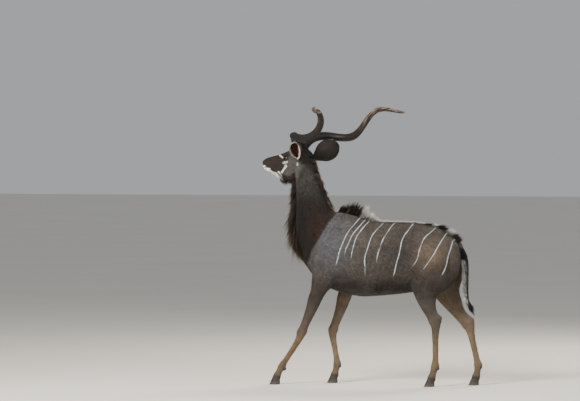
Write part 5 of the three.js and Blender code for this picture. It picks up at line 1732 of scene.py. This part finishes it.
eyeball_gloss = eye_gloss()
for side, name in ((1, "eye_left"), (-1, "eye_right")):
    centre = EYE_PLACE * [1, side, 1]
    globe = ball(centre, EYE_RADIUS * 0.985, EYE_RINGS, EYE_SIDES)
    eye_mesh = joined_mesh(name + "_ball", [from_head(globe)])
    gaze = (globe.reshape(-1, 3) - centre) / EYE_RADIUS
    point_values(eye_mesh, "gaze", gaze)
    finished(name + "_ball", eye_mesh, eyeball_gloss, "eye", name)


# Hooves
# Each is two narrow black claws of horn, with growth lines that run round them, flat soles and soft
# heels, below a coronet of skin. Two small dew claws sit behind the fetlock.
HOOF_LENGTH = 0.088
HOOF_WIDTH = 0.064
CORONET_HEIGHT = 0.058
FETLOCK_ROW = 12
DEW_CLAW = np.array([0.012, 0.0075, 0.015])
GROWTH_SPACING = 0.0062
GROWTH_HEIGHT = 0.00035
# Fine lines in the horn, 14 mm long round the wall and 2.4 mm apart up it.
LINE_SCALE = 70.0
LINE_STRETCH = (1.0, 1.0, 6.0)
# Each row of a claw is [height, how far back, share of the length, share of the width].
CLAW_ROWS = [[0.000, 0.000, 0.985, 0.97], [0.003, -0.0006, 1.0, 1.0], [0.030, -0.006, 0.84, 0.94],
             [0.058, -0.013, 0.66, 0.82], [0.074, -0.016, 0.56, 0.74]]


def claw_rings(x, y, side):
    heights = steps(0, CLAW_ROWS[-1][0], 34)
    _, back, long, wide = between(CLAW_ROWS, heights).T[..., None]
    angles = round_angles(44)
    forward = np.cos(angles)
    toe = np.where(forward > 0, 1.0, 0.86)
    narrow = np.where(forward > 0, 1 - 0.45 * forward**2, 1.0)
    growth = GROWTH_HEIGHT * np.cos(heights[:, None] * 2 * math.pi / GROWTH_SPACING)
    growth *= heights[:, None] > 0.004
    reach = (HOOF_LENGTH / 2 * long + growth) * toe * forward
    half = ((HOOF_WIDTH / 4 - 0.0006) * wide + growth) * narrow * np.sin(angles)
    # The toe leans towards its neighbour, as the claws of a sound hoof do.
    closing = -0.0035 * side * np.maximum(forward, 0) ** 2
    up = np.broadcast_to(heights[:, None], reach.shape) + 0.16 * np.minimum(reach, 0.02) * (
        step_up(heights[:, None], 0.03, CORONET_HEIGHT))
    return np.stack([x + back + reach, y + side * (HOOF_WIDTH / 4 + 0.0004) + half + closing, up], -1)


def hoof_horn():
    """Hoof wall: black horn with fine growth lines, scuffed and dusty low down."""
    material, tree = new_material("hoof horn")
    place = add(tree, "ShaderNodeTexCoord").outputs["Object"]
    height = add(tree, "ShaderNodeSeparateXYZ", {"Vector": place}).outputs["Z"]
    stretch = add(tree, "ShaderNodeMapping", {"Vector": place, "Scale": LINE_STRETCH})
    lines = add(tree, "ShaderNodeTexNoise",
                {"Vector": stretch.outputs[0], "Scale": LINE_SCALE, "Detail": 6.0})
    low = add(tree, "ShaderNodeMapRange",
              {"Value": height, "From Min": 0.002, "From Max": 0.035, "To Min": 0.8, "To Max": 0.1})
    dust = add(tree, "ShaderNodeMath", {0: low.outputs[0], 1: lines.outputs["Fac"]}, operation="MULTIPLY")
    colour = add(tree, "ShaderNodeMix", {"Factor": dust.outputs[0]}, data_type="RGBA")
    colour.inputs[6].default_value = linear(0x1D1A19)
    colour.inputs[7].default_value = linear(0x6B5D4E)
    rough = add(tree, "ShaderNodeMapRange",
                {"Value": lines.outputs["Fac"], "To Min": 0.42, "To Max": 0.7})
    grain = add(tree, "ShaderNodeBump",
                {"Height": lines.outputs["Fac"], "Strength": 0.4, "Distance": 0.0012})
    finish_material(tree, add(tree, "ShaderNodeBsdfPrincipled", {
        "Base Color": colour.outputs[2], "Roughness": rough.outputs[0], "IOR": 1.55,
        "Normal": grain.outputs["Normal"]}))
    return material


hoof_keratin = hoof_horn()
HOOVES = {"foreleg_left": "hoof_fore_left", "foreleg_right": "hoof_fore_right",
          "hind_leg_left": "hoof_hind_left", "hind_leg_right": "hoof_hind_right"}
for leg, hoof in HOOVES.items():
    rows = LEG_ROWS[leg]
    foot_x, out = rows[-2][0], rows[-2][4]
    claws = [claw_rings(foot_x + 0.016, out, side) for side in (1, -1)]
    fetlock = rows[FETLOCK_ROW]
    for side in (1, -1):
        dew = np.array([fetlock[0] - fetlock[2] + 0.011, fetlock[4] + side * 0.012, fetlock[1] - 0.022])
        claws.append(ball(dew, DEW_CLAW, 14, 18))
    finished(hoof + "_claws", joined_mesh(hoof + "_claws", claws), hoof_keratin, "hoof", hoof)
